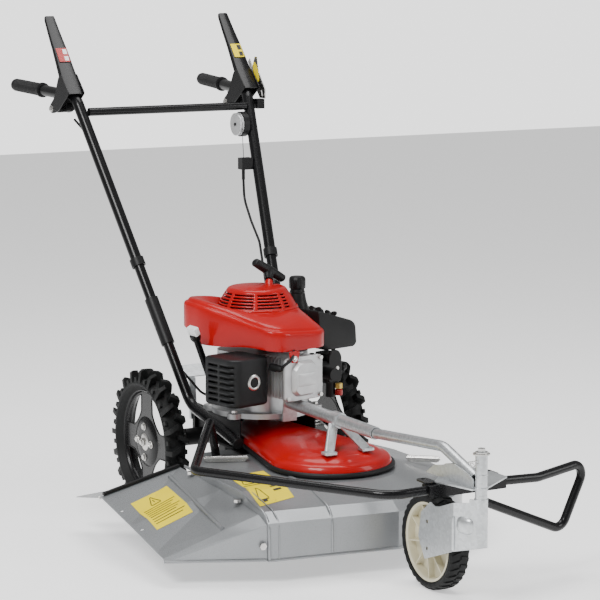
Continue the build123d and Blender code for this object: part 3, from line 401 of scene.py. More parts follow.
# ---------------------------------------------------------------- driven wheels
WHEEL_X = 235  # from the machine's middle to a wheel's
WHEEL_W = 50
TYRE_R = 146  # to the foot of the lugs
RIM_R = 122
LUGS = 20  # in each of the tyre's two rows
DISC_OUT = 4  # from the wheel's middle to its pressed disc
ROWS = (-1, 1)  # the two sides of a tread
HANDS = ((1, "left"), (-1, "right"))  # the operator's left is +x
# stations of a lug: out from the tyre's middle, round, width, and share of the full height
LUG_STATIONS = ((1.5, 0, 13, 1.0), (10, 5, 13, 1.0), (18, 9, 14, 0.98), (22.5, 11, 15, 0.86),
                (25.6, 12, 14, 0.1))


def on_wheel(radius, angle, out):
    """A place on a wheel whose axis is z."""
    return radius * math.cos(angle), radius * math.sin(angle), out


def lug(row, turn):
    """One chevron lug, from the tyre's middle line out over its shoulder."""
    rings = []
    for out, skew, width, rise in LUG_STATIONS:
        top = TYRE_R - 2 + (WHEEL_R - TYRE_R + 2) * rise
        base = TYRE_R - 4 if out < WHEEL_W / 2 else TYRE_R - 11
        rings.append([on_wheel(radius, turn + (skew + across * width) / WHEEL_R, row * (out - 1))
                      for across, radius in ((-0.5, base), (-0.42, top), (0.42, top), (0.5, base))])
    return skin(rings)


def wheel_tyre(hand, word):
    """Tyre with two rows of chevron lugs half a pitch apart."""
    half = WHEEL_W / 2
    profile = [(RIM_R - 1, -4), (RIM_R - 1, -9), (RIM_R + 2, -10.5), (RIM_R + 4, -14), (RIM_R + 8, -20),
               (RIM_R + 11, -24), (RIM_R + 14, -half), (RIM_R + 17, -half + 0.4), (TYRE_R - 4, -half + 2.5),
               (TYRE_R, -half + 10), (TYRE_R + 1, 0)]
    profile += [(radius, -out) for radius, out in reversed(profile[:-1])]
    meshes = [turned(profile, 96, loop=True)]
    meshes += [lug(row, math.tau * (k + row / 4) / LUGS) for row in ROWS for k in range(LUGS)]
    # small moulded blocks between the lugs on each shoulder
    for row in ROWS:
        for k in range(LUGS):
            angle = math.tau * (k + row / 4 + 0.5) / LUGS + 12 / WHEEL_R
            block = Matrix.Rotation(angle, 4, "Z") @ at(TYRE_R - 1, 0, row * (half - 4) - 3)
            meshes.append(moved(plate([(-7, -6), (6, -5), (6, 5), (-7, 6)], 6, edge=1), block))
    piece(f"lugged_tyre_{word}", joined(meshes), MACHINE @ at(hand * WHEEL_X, 0, WHEEL_R) @ ALONG_X, TYRE,
          body=f"wheel_{word}", stands_for=[f"wheel_tyre_{word}"], sharp=32)


def rim_window(turn, steps=10):
    """Outline of one lobed window between two spokes of the pressed disc."""
    points = []
    outer, inner, bow = RIM_R - 12, 64, 9
    outer_reach, inner_reach = 31, 22  # degrees to each side
    for k in range(steps + 1):
        angle = turn + math.radians(outer_reach * (2 * k / steps - 1))
        points.append((outer * math.cos(angle), outer * math.sin(angle)))
    for k in range(steps + 1):
        share = 2 * k / steps - 1
        angle = turn - math.radians(inner_reach * share)
        radius = inner + bow * share ** 2
        points.append((radius * math.cos(angle), radius * math.sin(angle)))
    return rounded(points, 5, 3)


def wheel_rim(hand, word):
    """Rolled rim with a pressed, windowed disc, its hub, bolts and half-shaft."""
    barrel = [(RIM_R, -9), (RIM_R, 9), (RIM_R - 2, 11), (RIM_R - 4, 10), (RIM_R - 6, 6), (RIM_R - 7.5, 3),
              (RIM_R - 7.5, -3), (RIM_R - 6, -6), (RIM_R - 4, -10), (RIM_R - 2, -11)]
    windows = [rim_window(math.radians(45 + 90 * k)) for k in range(4)]
    disc = moved(plate(circle(0, 0, RIM_R - 7, 72), 3, windows), at(0, 0, DISC_OUT))
    dish = [(21, 14), (30, 14), (42, 13.5), (50, 11.5), (57, 8.4), (60, 5.4), (60, 3), (21, 3)]
    meshes = [turned(barrel, 96, loop=True), disc, turned(dish, 48, loop=True)]
    # pressed lips round the windows
    for window in windows:
        lip = [(x, y, DISC_OUT + 2.6) for x, y in window]
        meshes.append(rod(lip, 1.8, 8, closed=True))
    black = joined(meshes)
    # the hub, its nut and the axle's end, the disc's bolts, and the half-shaft
    bright = [turned([(AXIS_R, 2), (21, 2), (21, 13), (17, 15), (AXIS_R, 15)], 40),
              moved(hexagon_bolt(10, 6), at(0, 0, 15)),
              turned([(AXIS_R, 18), (6, 18), (6, 23.5), (5, 24.5), (AXIS_R, 24.5)], 20)]
    bright += [moved(hexagon_bolt(7, 5, 9), turn_about("Z", 90 * k) @ at(36, 0, 14)) for k in range(4)]
    bright.append(turned([(AXIS_R, -2), (10, -2), (10, -207), (AXIS_R, -207)], 24))
    whole = joined([black, *[tinted(mesh, 1) for mesh in bright]])
    place = MACHINE @ at(hand * WHEEL_X, 0, WHEEL_R) @ turn_about("Y", 90 * hand)
    piece(f"pressed_rim_{word}", whole, place, BLACK, STEEL, body=f"wheel_{word}",
          stands_for=[f"wheel_rim_{word}"], sharp=35)


for hand, word in HANDS:
    wheel_tyre(hand, word)
    wheel_rim(hand, word)

# ---------------------------------------------------------------- caster wheel and fork
CASTER = mm(PIVOT["caster_wheel_spin"])
CASTER_R = CASTER.z
CASTER_RIM_R = 81
TREAD_BLOCKS = 34
# stations of a tread block: out from the tyre's middle, rise and width
BLOCK_STATIONS = ((1, 0, 9), (9, 0, 10), (16, -0.6, 10), (20.5, -3, 9), (22.4, -8, 8))
BLOCK_SKEW = 0.003  # radians for each millimetre outwards
RIM_RIBS = 9
STEM = mm(PIVOT["caster_swivel_turn"])
caster_place = MACHINE @ at(*CASTER) @ ALONG_X

caster_profile = [(CASTER_RIM_R - 2, -17), (CASTER_RIM_R + 2, -20), (CASTER_RIM_R + 8, -22.6),
                  (CASTER_R - 8, -22.8), (CASTER_R - 3.6, -19), (CASTER_R - 2.6, -10), (CASTER_R - 2.4, 0)]
caster_profile += [(radius, -out) for radius, out in reversed(caster_profile[:-1])]
caster_meshes = [turned(caster_profile, 96, loop=True)]
for row in ROWS:
    for k in range(TREAD_BLOCKS):
        rings = []
        for out, rise, width in BLOCK_STATIONS:
            turn = math.tau * (k + row / 4) / TREAD_BLOCKS + out * BLOCK_SKEW
            rings.append([on_wheel(CASTER_R + drop + rise, turn + across * width / CASTER_R, row * out)
                          for across, drop in ((-0.5, -6), (-0.43, 0), (0.43, 0), (0.5, -6))])
        caster_meshes.append(skin(rings))
piece("treaded_caster_tyre", joined(caster_meshes), caster_place, TYRE, body="caster_wheel",
      stands_for=["caster_tyre"], sharp=32)

well = [(0, -18), (1, -20), (-3, -20.5), (-5, -18), (-6, 0), (-5, 18), (-3, 20.5), (1, 20), (0, 18)]
web = [(20, -3), (CASTER_RIM_R - 4, -1.5), (CASTER_RIM_R - 4, 1.5), (20, 3)]
hub = [(6.2, -24), (16, -24), (18, -22), (20, 0), (18, 22), (16, 24), (6.2, 24)]
rim_meshes = [turned([(CASTER_RIM_R + rise, out) for rise, out in well], 96, loop=True),
              turned(web, 72, loop=True), turned(hub, 40, loop=True)]
for k in range(RIM_RIBS):
    rib = plate([(18, -19), (CASTER_RIM_R - 5, -15), (CASTER_RIM_R - 5, 15), (18, 19)], 2.6, edge=0.5)
    rim_meshes.append(moved(rib, turn_about("Z", 360 * k / RIM_RIBS) @ FORWARD @ at(0, 0, -1.3)))
piece("ribbed_caster_rim", joined(rim_meshes), caster_place, BEIGE, body="caster_wheel",
      stands_for=["caster_rim"], sharp=35)

# swelling pressed into the slanting wall of the fork's cheek, and the rib along its fold
FORK_FOLD, FORK_END = Vector((-33, -983)), Vector((-12.6, -1037))
SWELL_WIDE, SWELL_TALL, SWELL_Z, SWELL_ALONG = 21, 18, 167, 29
SQUARENESS = 0.7  # of the swelling's outline; 1 would be an ellipse
wall_run = (FORK_END - FORK_FOLD).normalized()
wall_out = Vector((wall_run.y, -wall_run.x))


def squared(value):
    """A sine or cosine pushed outwards, for an outline between an ellipse and a rectangle."""
    return math.copysign(abs(value) ** SQUARENESS, value)


swelling = []
for reach, rise in ((1, -0.4), (0.93, 2), (0.78, 4.6), (0.55, 6.4), (0.25, 7.2), (0.02, 7.4)):
    ring = []
    for a in angles(36):
        along = SWELL_ALONG + SWELL_WIDE * reach * squared(math.cos(a))
        spot = FORK_FOLD + wall_run * along + wall_out * rise
        ring.append((spot.x, spot.y, SWELL_Z + SWELL_TALL * reach * squared(math.sin(a))))
    swelling.append(ring)
fold = [(-32.4, -983, 112), (-33.4, -983.4, 116), (-33.8, -983.6, 148), (-33.4, -983.4, 174),
        (-32.4, -983, 180)]
piece("fork_swelling", joined([skin(swelling), rod(fold, 3.6)]), MACHINE, ZINC, body="caster_swivel",
      sharp=60)

# welds of the stem, and the spring clip through its top
WELD_R, RIPPLES = 12.6, 17
WELDS = (("fork_weld", "caster_swivel", 222.4, 1.5), ("stem_weld", "chassis", 245.2, 1.7),
         ("head_weld", "chassis", 272, 1.2))
for name, body, z, bead_r in WELDS:
    bead = [(WELD_R * math.cos(a), WELD_R * math.sin(a), 0.5 * math.sin(a * RIPPLES)) for a in angles(90)]
    piece(name, rod(bead, bead_r, 8, closed=True), MACHINE @ at(STEM.x, STEM.y, z), ZINC, body=body,
          sharp=60)
clip = [(-24, 2, 0), (-10, 2, 0), (8, 2, 0), (14, 0, 0), (10, -3, 0), (-2, -3, 0), (-8, -8, 0), (-15, -9, 0),
        (-20, -5, 0), (-17, 0, 0), (-11, -2, 0), (-9, -7, 0)]
piece("spring_clip", rod(smooth_path(clip, 5), 1.1, 8),
      MACHINE @ at(STEM.x - 12, STEM.y - 6, 300) @ turn_about("X", 70), STEEL, sharp=60)

# ---------------------------------------------------------------- belt cover
SPINDLE_Y = mm(PIVOT["blade_spin"]).y
CRANK_Y = mm(PIVOT["crank_spin"]).y


def teardrop(front_r, back_r, z, steps=120):
    """Outline round the spindle and the crank at one height."""
    points = []
    for k in range(steps):
        a = math.tau * (k + 0.5) / steps
        normal = Vector((math.cos(a), math.sin(a)))
        ends = [Vector((0, y)) + normal * r for y, r in ((SPINDLE_Y, front_r), (CRANK_Y, back_r))]
        far = max(ends, key=normal.dot)
        points.append((far.x, far.y, z))
    return points


# height, front radius and back radius of the cover's rings
COVER = ((177, 135.5, 69.5), (184, 136, 70), (187, 134.5, 69), (193, 133, 68), (197, 128, 66),
         (199.5, 122, 63.5), (200.5, 116, 60), (203.5, 112, 57), (208, 104, 53), (212, 90, 47),
         (215, 72, 40), (216.6, 48, 30), (217, 24, 22))
piece("pressed_belt_cover", skin([teardrop(front, back, z) for z, front, back in COVER], cap=(False, True)),
      MACHINE, RED, stands_for=["belt_cover"], sharp=50)
piece("cover_bead", rod(teardrop(138, 72, 177.5), 5.8, 10, closed=True), MACHINE, RUBBER,
      stands_for=["cover_trim"], sharp=60)

# ---------------------------------------------------------------- deck and chute details
DECK_R, RIM_Z = 290, 52
deck_front = [(-288, -680), (-150, -700), (0, -722)]
deck_front += [(DECK_R * math.cos(a), SPINDLE_Y + DECK_R * math.sin(a)) for a in
               (math.radians(-90 + 6 * k) for k in range(1, 15))]
deck_front += [(DECK_R, SPINDLE_Y), (DECK_R, -322), (191, -160)]
EDGES = {
    "deck_rolled_rim": ([(x, y, RIM_Z) for x, y in deck_front], 3.4),
    "chute_rolled_rim": ([(-290, -677, 53), (-478, -585, RIM_Z)], 3),
}
for name, (route, radius) in EDGES.items():
    piece(name, rod(route, radius, 10), MACHINE, DECK, sharp=60)
BEADS = {
    "deck_side_bead": ([(-283, -285, 170.6), (-283, -545, 170), (-284, -650, 150), (-285, -679, 131),
                        (-285, -681, 54)], 3.4),
    "deck_lap": ([(-262, -285, 170.2), (-262, -552, 169.6), (-263, -655, 149.6), (-264, -684, 131),
                  (-264, -684, 54)], 1.6),
    "deck_front_bead": ([(-128, -480, 170), (-134, -565, 169.5), (-143, -670, 150), (-148, -700, 131),
                         (-147, -700, 56)], 3.2),
    "chute_bead": ([(-324.5, -292, 155), (-340, -420, 141.5), (-347, -466, 137), (-357, -612, 113)], 4.2),
}
for name, (route, radius) in BEADS.items():
    piece(name, rod(smooth_path(route, 22), radius), MACHINE, DECK, sharp=60)


MARK_STEPS = 10  # cells along a label's mark
MARK_LIFT = 0.5  # of a mark over its label
ABOVE = 60  # how far over or under a sheet a label's place may be
SHEETS = [BVHTree.FromObject(frame["nodes"][name], bpy.context.evaluated_depsgraph_get())
          for name in ("chute_plate", "deck_shell")]


def on_sheet(spot):
    """The place straight above or below a spot, on the deck's or the chute's sheet."""
    start = MACHINE @ (spot + Vector((0, 0, ABOVE)))
    casts = (sheet.ray_cast(start, Vector((0, 0, -1)), 2 * ABOVE * MM)[0] for sheet in SHEETS)
    hits = [hit for hit in casts if hit]
    return mm(max(hits, key=lambda hit: hit.z)) if hits else spot


def decal(name, corners, glyphs, looks, lift=0.6, grain=40, body="chassis"):
    """Thin label between four corners, with flat four-cornered marks (u, v from 0 to 1) on it."""
    a, b, c, d = (Vector(p) for p in corners)
    normal = (b - a).cross(d - a).normalized()
    if normal.z < 0:
        normal.negate()

    def spot(u, v, up):
        place = (a * (1 - u) + b * u) * (1 - v) + (d * (1 - u) + c * u) * v
        return (on_sheet(place) if body == "chassis" else place) + normal * up

    rows = [[spot(i / grain, j / grain, lift) for i in range(grain + 1)] for j in range(grain + 1)]
    meshes = [skin(rows, closed=False, cap=(False, False))]
    for shape in glyphs:
        # a mark is a strip of small cells, so that it follows the label
        p, q, r, t = (Vector(corner) for corner in shape)
        ends = [(p.lerp(q, k / MARK_STEPS), t.lerp(r, k / MARK_STEPS)) for k in range(MARK_STEPS + 1)]
        strip = [[spot(*low, lift + MARK_LIFT), spot(*high, lift + MARK_LIFT)] for low, high in ends]
        meshes.append(tinted(skin(strip, closed=False, cap=(False, False)), 1))
    piece(name, joined(meshes), MACHINE, *looks, body=body, slot="deck_paint", sharp=60)


def bar(u0, v0, u1, v1):
    """Rectangular mark."""
    return [(u0, v0), (u1, v0), (u1, v1), (u0, v1)]


def triangle(u, v, size, line=0.02):
    """Outline of a warning triangle as three strokes."""
    corners = [Vector((u, v)), Vector((u + size, v)), Vector((u + size / 2, v - size))]
    strokes = []
    for start, end in zip(corners, corners[1:] + corners[:1]):
        across = Vector((-(end - start).y, (end - start).x)).normalized() * line
        strokes.append([tuple(start), tuple(end), tuple(end + across), tuple(start + across)])
    return strokes


# a triangle over lines of no text, and four fields with triangles and bars
lines = [bar(0.08, 0.40 + 0.065 * k, 0.92 - 0.09 * (k % 3), 0.415 + 0.065 * k) for k in range(8)]
decal("chute_label", [(-440, -339, 117.5), (-348, -326, 143.5), (-365, -489, 123.8), (-445, -481, 92.8)],
      [*triangle(0.36, 0.32, 0.24), bar(0.47, 0.17, 0.49, 0.26), *lines], (YELLOW, INK))
cells = [bar(0.49, 0.03, 0.505, 0.97), bar(0.03, 0.47, 0.97, 0.485)]
for cell_u, cell_v in ((0.1, 0.4), (0.6, 0.4), (0.1, 0.88)):
    cells += triangle(cell_u, cell_v, 0.27)
cells += [bar(0.62, 0.62, 0.9, 0.66), bar(0.62, 0.74, 0.84, 0.78), bar(0.18, 0.9, 0.3, 0.94)]
decal("deck_label", [(-246, -419, 171), (-153, -405, 171), (-189, -611, 161.5), (-278, -627, 155.5)], cells,
      (YELLOW, INK))

# ---------------------------------------------------------------- engine shroud and recoil dome
SHROUD_CORNERS = ((-118, 188), (29, 188), (66, 128), (80, 60), (80, -70), (50, -108), (-120, -114),
                  (-165, -94), (-168, -6), (-140, 66))
SHROUD_Z, DOME_Z, DOME_TOP = 408, 484, 529
DOME_R, DOME_TOP_R, DOME_U = 91, 62, -16
AROUND = 144  # points in each ring of the shroud
SOFTEN = 3  # neighbours on each side that an outline point is averaged with


def shroud_reach(angle):
    """Distance from the crank to the shroud's plan outline along one direction."""
    ray = Vector((math.cos(angle), math.sin(angle)))
    best = 0
    corners = [Vector((u, -v)) for u, v in SHROUD_CORNERS]
    for start, end in zip(corners, corners[1:] + corners[:1]):
        side = end - start
        cross = ray.x * side.y - ray.y * side.x
        if abs(cross) < 1e-9:
            continue
        along = (start.x * side.y - start.y * side.x) / cross
        part = (start.x * ray.y - start.y * ray.x) / cross
        if along > 0 and -1e-6 <= part <= 1 + 1e-6:
            best = max(best, along)
    return best


reaches = [shroud_reach(a) for a in angles(AROUND)]
soft_reach = [sum(reaches[(k + j) % AROUND] for j in range(-SOFTEN, SOFTEN + 1)) / (2 * SOFTEN + 1)
              for k in range(AROUND)]


def back_rise(a):
    """How much higher the side wall is towards the engine's back left corner."""
    share = (1 + math.cos(a - math.radians(152))) / 2
    return 56 * share ** 2.4 - 4


def lower_edge(a):
    """The shroud's lower edge: it is cut up over the muffler and at the back left."""
    degrees = math.degrees(a)
    over_muffler = math.exp(-((degrees - 222) / 17) ** 2)
    back_left = 1 / (1 + math.exp((degrees - 164) / 3)) / (1 + math.exp((120 - degrees) / 4))
    return SHROUD_Z + 1 + 6 * over_muffler + 34 * back_left


def shroud_ring(inset, level, rise_share, dome_share=0.0):
    """Ring of the shroud, inset from its outline, or blended towards the dome's circle."""
    ring = []
    for a, reach in zip(angles(AROUND), soft_reach):
        ray = Vector((math.cos(a), math.sin(a)))
        spot = ray * (reach - inset - 0.3)
        height = lower_edge(a) + level if rise_share == 0 else level + rise_share * back_rise(a)
        if dome_share:
            seat = Vector((DOME_U, 0)) + ray * (DOME_R + 3)
            spot = spot.lerp(seat, dome_share)
            height = height * (1 - dome_share) + (DOME_Z - 1) * dome_share
            height += 5 * math.sin(math.pi * dome_share)
        ring.append((spot.x, spot.y, height))
    return ring


# the wall from its turned-in lower edge, the step round its top, and the rise to the dome
SHROUD_WALL = ((2.5, 3, 0), (0.4, 0, 0), (0, 3, 0), (0, 432, 0.75), (0, 441, 1), (0.6, 444, 1),
               (2.4, 447, 1), (5, 448.6, 1), (8, 449.4, 1), (9.5, 450.2, 1), (11, 453, 1), (14, 455.5, 1))
SHROUD_TOP = ((457, 0.15), (459, 0.4), (460, 0.7), (460, 0.93), (460, 1.0), (460, 1.03))
shroud_rings = [shroud_ring(*station) for station in SHROUD_WALL]
shroud_rings += [shroud_ring(16, level, 1, share) for level, share in SHROUD_TOP]
piece("moulded_shroud", skin(shroud_rings, cap=(False, False)), ENGINE, RED, stands_for=["engine_shroud"],
      sharp=42, wall=2)

# tab that bolts the shroud to the cylinder head
tab = plate([(-16, 12), (16, 12), (9, -14), (-9, -14)], 3, [circle(0, -5, 3.4)], corner=6)
piece("shroud_tab", tab, ENGINE @ at(-70, -193, 398) @ FORWARD, RED)
piece("shroud_tab_bolt", hexagon_bolt(5, 4, 7), ENGINE @ at(-70, -196.5, 393) @ FORWARD, STEEL)

# dome with five rows of cooling slots, broken by ribs and by a smooth boss at the front
DOME_STEPS = 168
SLOT_ROWS = 5
SLOT_START, SLOT_PITCH, SLOT_OPEN = 0.12, 0.165, 0.085  # shares of the dome's height
RIB_EVERY, RIB_STEPS = 21, 3
BOSS_FROM, BOSS_TO = 287, 312  # degrees
dome_heights = [0.0, 0.06]
for row in range(SLOT_ROWS):
    low = SLOT_START + row * SLOT_PITCH
    dome_heights += [low, low + SLOT_OPEN]
dome_heights += [0.95, 1.0]


def dome_radius(t):
    """The dome's radius at a share t of its height."""
    return DOME_R + (DOME_TOP_R + 6 - DOME_R) * (t ** 1.25)


dome = bmesh.new()
grid = [[dome.verts.new(on_wheel(dome_radius(t), a, DOME_Z + t * (DOME_TOP - 4 - DOME_Z)))
         for a in angles(DOME_STEPS)] for t in dome_heights]
for row, (low, high) in enumerate(pairwise(grid)):
    slot_row = row % 2 == 0 and 2 <= row < 2 + 2 * SLOT_ROWS
    for k in range(DOME_STEPS):
        rib = k % RIB_EVERY < RIB_STEPS
        boss = BOSS_FROM < 360 * k / DOME_STEPS < BOSS_TO
        if slot_row and not rib and not boss:
            continue
        nxt = (k + 1) % DOME_STEPS
        dome.faces.new((low[k], low[nxt], high[nxt], high[k]))
rim = grid[-1]
for share, rise in ((0.965, -1.4), (0.92, 0), (0.86, 0.6), (0.8, 0.2), (0.72, 1.4), (0.3, 2.6), (0.02, 2.9)):
    ring = [dome.verts.new((v.co.x * share, v.co.y * share, DOME_TOP + rise)) for v in grid[-1]]
    for k in range(DOME_STEPS):
        nxt = (k + 1) % DOME_STEPS
        dome.faces.new((rim[k], rim[nxt], ring[nxt], ring[k]))
    rim = ring
dome.faces.new(rim)
DOME_PLACE = ENGINE @ at(DOME_U, 0, 0)
piece("slotted_dome", finished(dome), DOME_PLACE, RED, stands_for=["starter_dome"], sharp=42, wall=2.4)
skirt = [(DOME_R + 2.5, 481), (DOME_R + 4, 483), (DOME_R + 3, 486), (DOME_R - 1, 487), (DOME_R - 3, 483)]
piece("dome_skirt", turned(skirt, 96, loop=True), DOME_PLACE, RED, sharp=60)
# what the slots show: a dark shell of painted shade, standing in for the shaded inside of the dome, and the rope's
# reel
painted_shade_shell = [(DOME_R - 8, DOME_Z + 2), (DOME_R - 9, DOME_Z + 8), (DOME_TOP_R - 3, DOME_TOP - 9),
          (DOME_TOP_R - 6, DOME_TOP - 6), (AXIS_R, DOME_TOP - 6)]
# this black shell is painted shade behind the slots, not a part of the real starter
piece("dome_painted_shade_shell", turned(painted_shade_shell, 72), DOME_PLACE, PLASTIC, sharp=40)
reel = [(AXIS_R, 500), (50, 500), (54, 494), (54, 487), (66, 485), (66, 483), (AXIS_R, 483)]
piece("rope_reel", turned(reel), DOME_PLACE, DARK_STEEL, slot="black_plastic")

# ---------------------------------------------------------------- muffler
MUFFLER_U, MUFFLER_V, MUFFLER_Z = (-208, -106), (44, 150), (288, 398)
OUTER_CORNER, INNER_CORNER, BACK_CORNER = 26, 10, 6


def muffler_ring(z, inset):
    """Points round the guard, from the back of its outer side to the front, then the other side."""
    u0, u1 = MUFFLER_U[0] + inset, MUFFLER_U[1] - inset
    v0, v1 = MUFFLER_V[0] + inset, MUFFLER_V[1] - inset
    outer, inner, back = OUTER_CORNER - inset, INNER_CORNER, BACK_CORNER
    points = [(u0, v0 + back + (v1 - outer - v0 - back) * k / 24) for k in range(24)]
    points += [(u0 + outer - outer * math.cos(a), v1 - outer + outer * math.sin(a))
               for a in angles(8, math.pi / 2)]
    points += [(u0 + outer + (u1 - inner - u0 - outer) * k / 10, v1) for k in range(10)]
    points += [(u1 - inner + inner * math.sin(a), v1 - inner + inner * math.cos(a))
               for a in angles(5, math.pi / 2)]
    points += [(u1, v1 - inner - (v1 - v0 - inner - back) * k / 10) for k in range(10)]
    points += [(u1 - back, v0), (u0 + back, v0)]
    return [(u, -v, z) for u, v in points]


BANDS = 22  # of the guard's wall; every third one has slots
SLOT_BANDS = range(1, BANDS - 1, 3)
SLOT_POINTS = {*range(3, 28)} - {14, 15}  # along the outer side and round its corner, but for a rib
stack = [(MUFFLER_Z[0] + 0.2, 10), (MUFFLER_Z[0] + 1, 5), (MUFFLER_Z[0] + 4, 1.4)]
stack += [(MUFFLER_Z[0] + 8 + 95 * k / BANDS, 0.3) for k in range(BANDS + 1)]
stack += [(MUFFLER_Z[1] - 3, 1), (MUFFLER_Z[1] - 0.8, 4), (MUFFLER_Z[1] - 0.2, 9)]
guard = bmesh.new()
rows = [[guard.verts.new(p) for p in muffler_ring(z, inset)] for z, inset in stack]
for row, (low, high) in enumerate(pairwise(rows)):
    for k in range(len(low)):
        if row - 3 in SLOT_BANDS and k in SLOT_POINTS:
            continue
        nxt = (k + 1) % len(low)
        guard.faces.new((low[k], low[nxt], high[nxt], high[k]))
guard.faces.new(rows[0])
guard.faces.new(rows[-1])
piece("muffler_guard", finished(guard), ENGINE, MUFFLER, stands_for=["muffler"], sharp=40, wall=1.6)
can = [muffler_ring(z, inset) for z, inset in ((296, 16), (300, 12), (386, 12), (390, 16))]
piece("muffler_can", skin(can), ENGINE, DARK_STEEL, slot="muffler_paint", sharp=45)
OUTLET = ENGINE @ at(-149, -150, 343) @ FORWARD
flange = [(11.4, -14), (11.4, 0.6), (12.6, 1.6), (16, 1.2), (18, 0), (18, -1), (13, -1.5), (13, -14)]
piece("outlet_flange", turned(flange, 48, loop=True), OUTLET, STEEL, sharp=50)
bore = [(10.6, -1), (10.6, -34), (AXIS_R, -34), (AXIS_R, -35), (11.2, -35), (11.2, -1)]
piece("outlet_bore", turned(bore, 40, loop=True), OUTLET, INK, slot="muffler_paint", sharp=50)

# ---------------------------------------------------------------- cylinder head
HEAD_U, HEAD_Z = -40, 346


def raised(outline, radius, stations):
    """Boss whose rings are the rounded outline at each (rise, scale)."""
    return skin([[(x * scale, y * scale, rise) for x, y in rounded(outline, radius, 3)]
                 for rise, scale in stations])


cover_base = plate([(-55.6, -49.6), (55.6, -49.6), (55.6, 49.6), (-55.6, 49.6)], 8, edge=1.6, corner=14)
dome_outline = [(-24, -40), (24, -40), (36, -28), (36, 24), (22, 40), (-22, 40), (-36, 24), (-36, -28)]
cover_dome = raised(dome_outline, 6, ((8, 1.0), (10, 0.99), (17, 0.90), (19.6, 0.86), (20, 0.82), (20, 0.1)))
panel = raised([(-26, -16), (26, -16), (26, 14), (-26, 14)], 3,
               ((19.8, 1), (21, 0.97), (21.3, 0.94), (21.3, 0.1)))
piece("valve_cover_casting", joined([cover_base, cover_dome, panel]),
      ENGINE @ at(HEAD_U, -184, HEAD_Z) @ FORWARD, ALLOY, stands_for=["valve_cover"], sharp=30)
boot = turned([(AXIS_R, 0), (9, 0), (9, 14), (7.5, 18), (7.5, 30), (5, 34), (AXIS_R, 34)], 28)
lead = rod(smooth_path([(0, 0, 30), (0, 10, 44), (14, 20, 50), (30, 34, 40), (40, 60, 20)], 12), 3.4, 10)
piece("spark_plug_boot", joined([boot, lead]), ENGINE @ at(-98, -150, 372) @ FORWARD, RUBBER, sharp=50)

# ---------------------------------------------------------------- air cleaner, tank and carburettor
BOX_OUTLINE = ((80, 463), (82, 474), (184, 442), (196, 431), (199, 387), (191, 379.6), (98, 379.6),
               (86, 392))
BOX_MIDDLE = Vector((140, 425))
LID_START, LID_RUN, LID_DROP = Vector((82, 474)), 102, 32  # the slope of the box's top
# depth and inset of the box's rings, with the groove between its two halves
BOX_STATIONS = ((30.5, 5), (31.5, 2), (34, 0.4), (66, 0.4), (67, 1.6), (68.5, 1.6), (69.5, 0.4), (103, 0.4),
                (105, 2), (105.7, 6))
cleaner_rings = []
for depth, inset in BOX_STATIONS:
    corners = (Vector(corner) for corner in rounded(BOX_OUTLINE, 9, 4))
    pulled = (spot + (BOX_MIDDLE - spot).normalized() * inset for spot in corners)
    cleaner_rings.append([(spot.x, -depth, spot.y) for spot in pulled])
piece("air_cleaner_box", skin(cleaner_rings), ENGINE, PLASTIC, stands_for=["air_cleaner"], sharp=30)
knob_meshes = []
for u in (106, 154):
    top = LID_START.y - (u - LID_START.x) * LID_DROP / LID_RUN
    tilt = at(u, -62, top) @ Matrix.Rotation(math.atan2(LID_DROP, LID_RUN), 4, "Y")
    knob_meshes.append(moved(turned([(AXIS_R, -2), (8, -2), (8.5, 3), (6.5, 6.5), (AXIS_R, 7.5)], 28), tilt))
    for side in (-1, 1):
        wing = plate([(0, -3.5), (14, -5), (19, 0), (17, 6), (10, 6.5), (0, 4)], 4, edge=1.4, corner=3)
        lean = tilt @ turn_about("Z", 90 * side) @ at(2, 0, 5)
        knob_meshes.append(moved(wing, lean @ FORWARD @ at(0, 0, -2)))
piece("wing_knobs", joined(knob_meshes), ENGINE, PLASTIC, stands_for=["air_cleaner_knobs"], sharp=40)
NECK = ENGINE @ at(117, 12, 0)
FLUTES, FLUTE_DEPTH = 12, 0.028  # depth as a share of the cap's radius
cap_profile = [(AXIS_R, 510.4), (18, 510.4), (19.4, 512), (19.6, 530), (18.6, 535), (15.5, 538.4), (8, 539),
               (AXIS_R, 539)]
cap_mesh = turned(cap_profile, 72)
for vert in cap_mesh.vertices:
    on_side = math.hypot(vert.co.x, vert.co.y) > 17.5 and vert.co.z > 511
    if on_side and math.sin(FLUTES * math.atan2(vert.co.y, vert.co.x)) > 0.2:
        vert.co.xy *= 1 - FLUTE_DEPTH
piece("fluted_fuel_cap", cap_mesh, NECK, PLASTIC, body="cap", slot="gloss_black_plastic",
      stands_for=["fuel_cap"], sharp=40)
neck = [(27, 452), (26.5, 460), (25, 470), (21, 482), (17.5, 492), (16.5, 498), (18, 500), (18, 503),
        (16, 505), (15.8, 509), (12, 509), (12, 470)]
piece("tank_neck", turned(neck, 56), NECK, PLASTIC, sharp=40)
cover_outline = [(-20, -36), (17, -36), (20, -24), (20, 24), (10, 38), (-10, 38), (-20, 26)]
cover_screw = tinted(moved(hexagon_bolt(3.5, 2.5, 5), at(6, -4, 8)), 1)
piece("carburettor_cover", joined([plate(cover_outline, 8, edge=2, corner=7), cover_screw]),
      ENGINE @ at(106, -126, 346) @ FORWARD, PLASTIC, STEEL, sharp=35)
tap = turned([(AXIS_R, 0), (9, 0), (9, 12), (AXIS_R, 12)], 6)
tap_knob = turned([(AXIS_R, 0), (8, 0), (9, 3), (9, 12), (6, 15), (AXIS_R, 15)], 24)
piece("fuel_tap", joined([tap, tinted(moved(tap_knob, at(0, 0, -16)), 1)]), ENGINE @ at(118, -132, 294),
      BRASS, VALVE_RED, slot="bright_steel", sharp=35)
hose = smooth_path([(150, -74, 380), (152, -84, 350), (156, -90, 322), (140, -100, 300),
                    (122, -112, 296)], 18)
piece("fuel_hose", rod(hose, 5, 12), ENGINE, RUBBER, sharp=60)
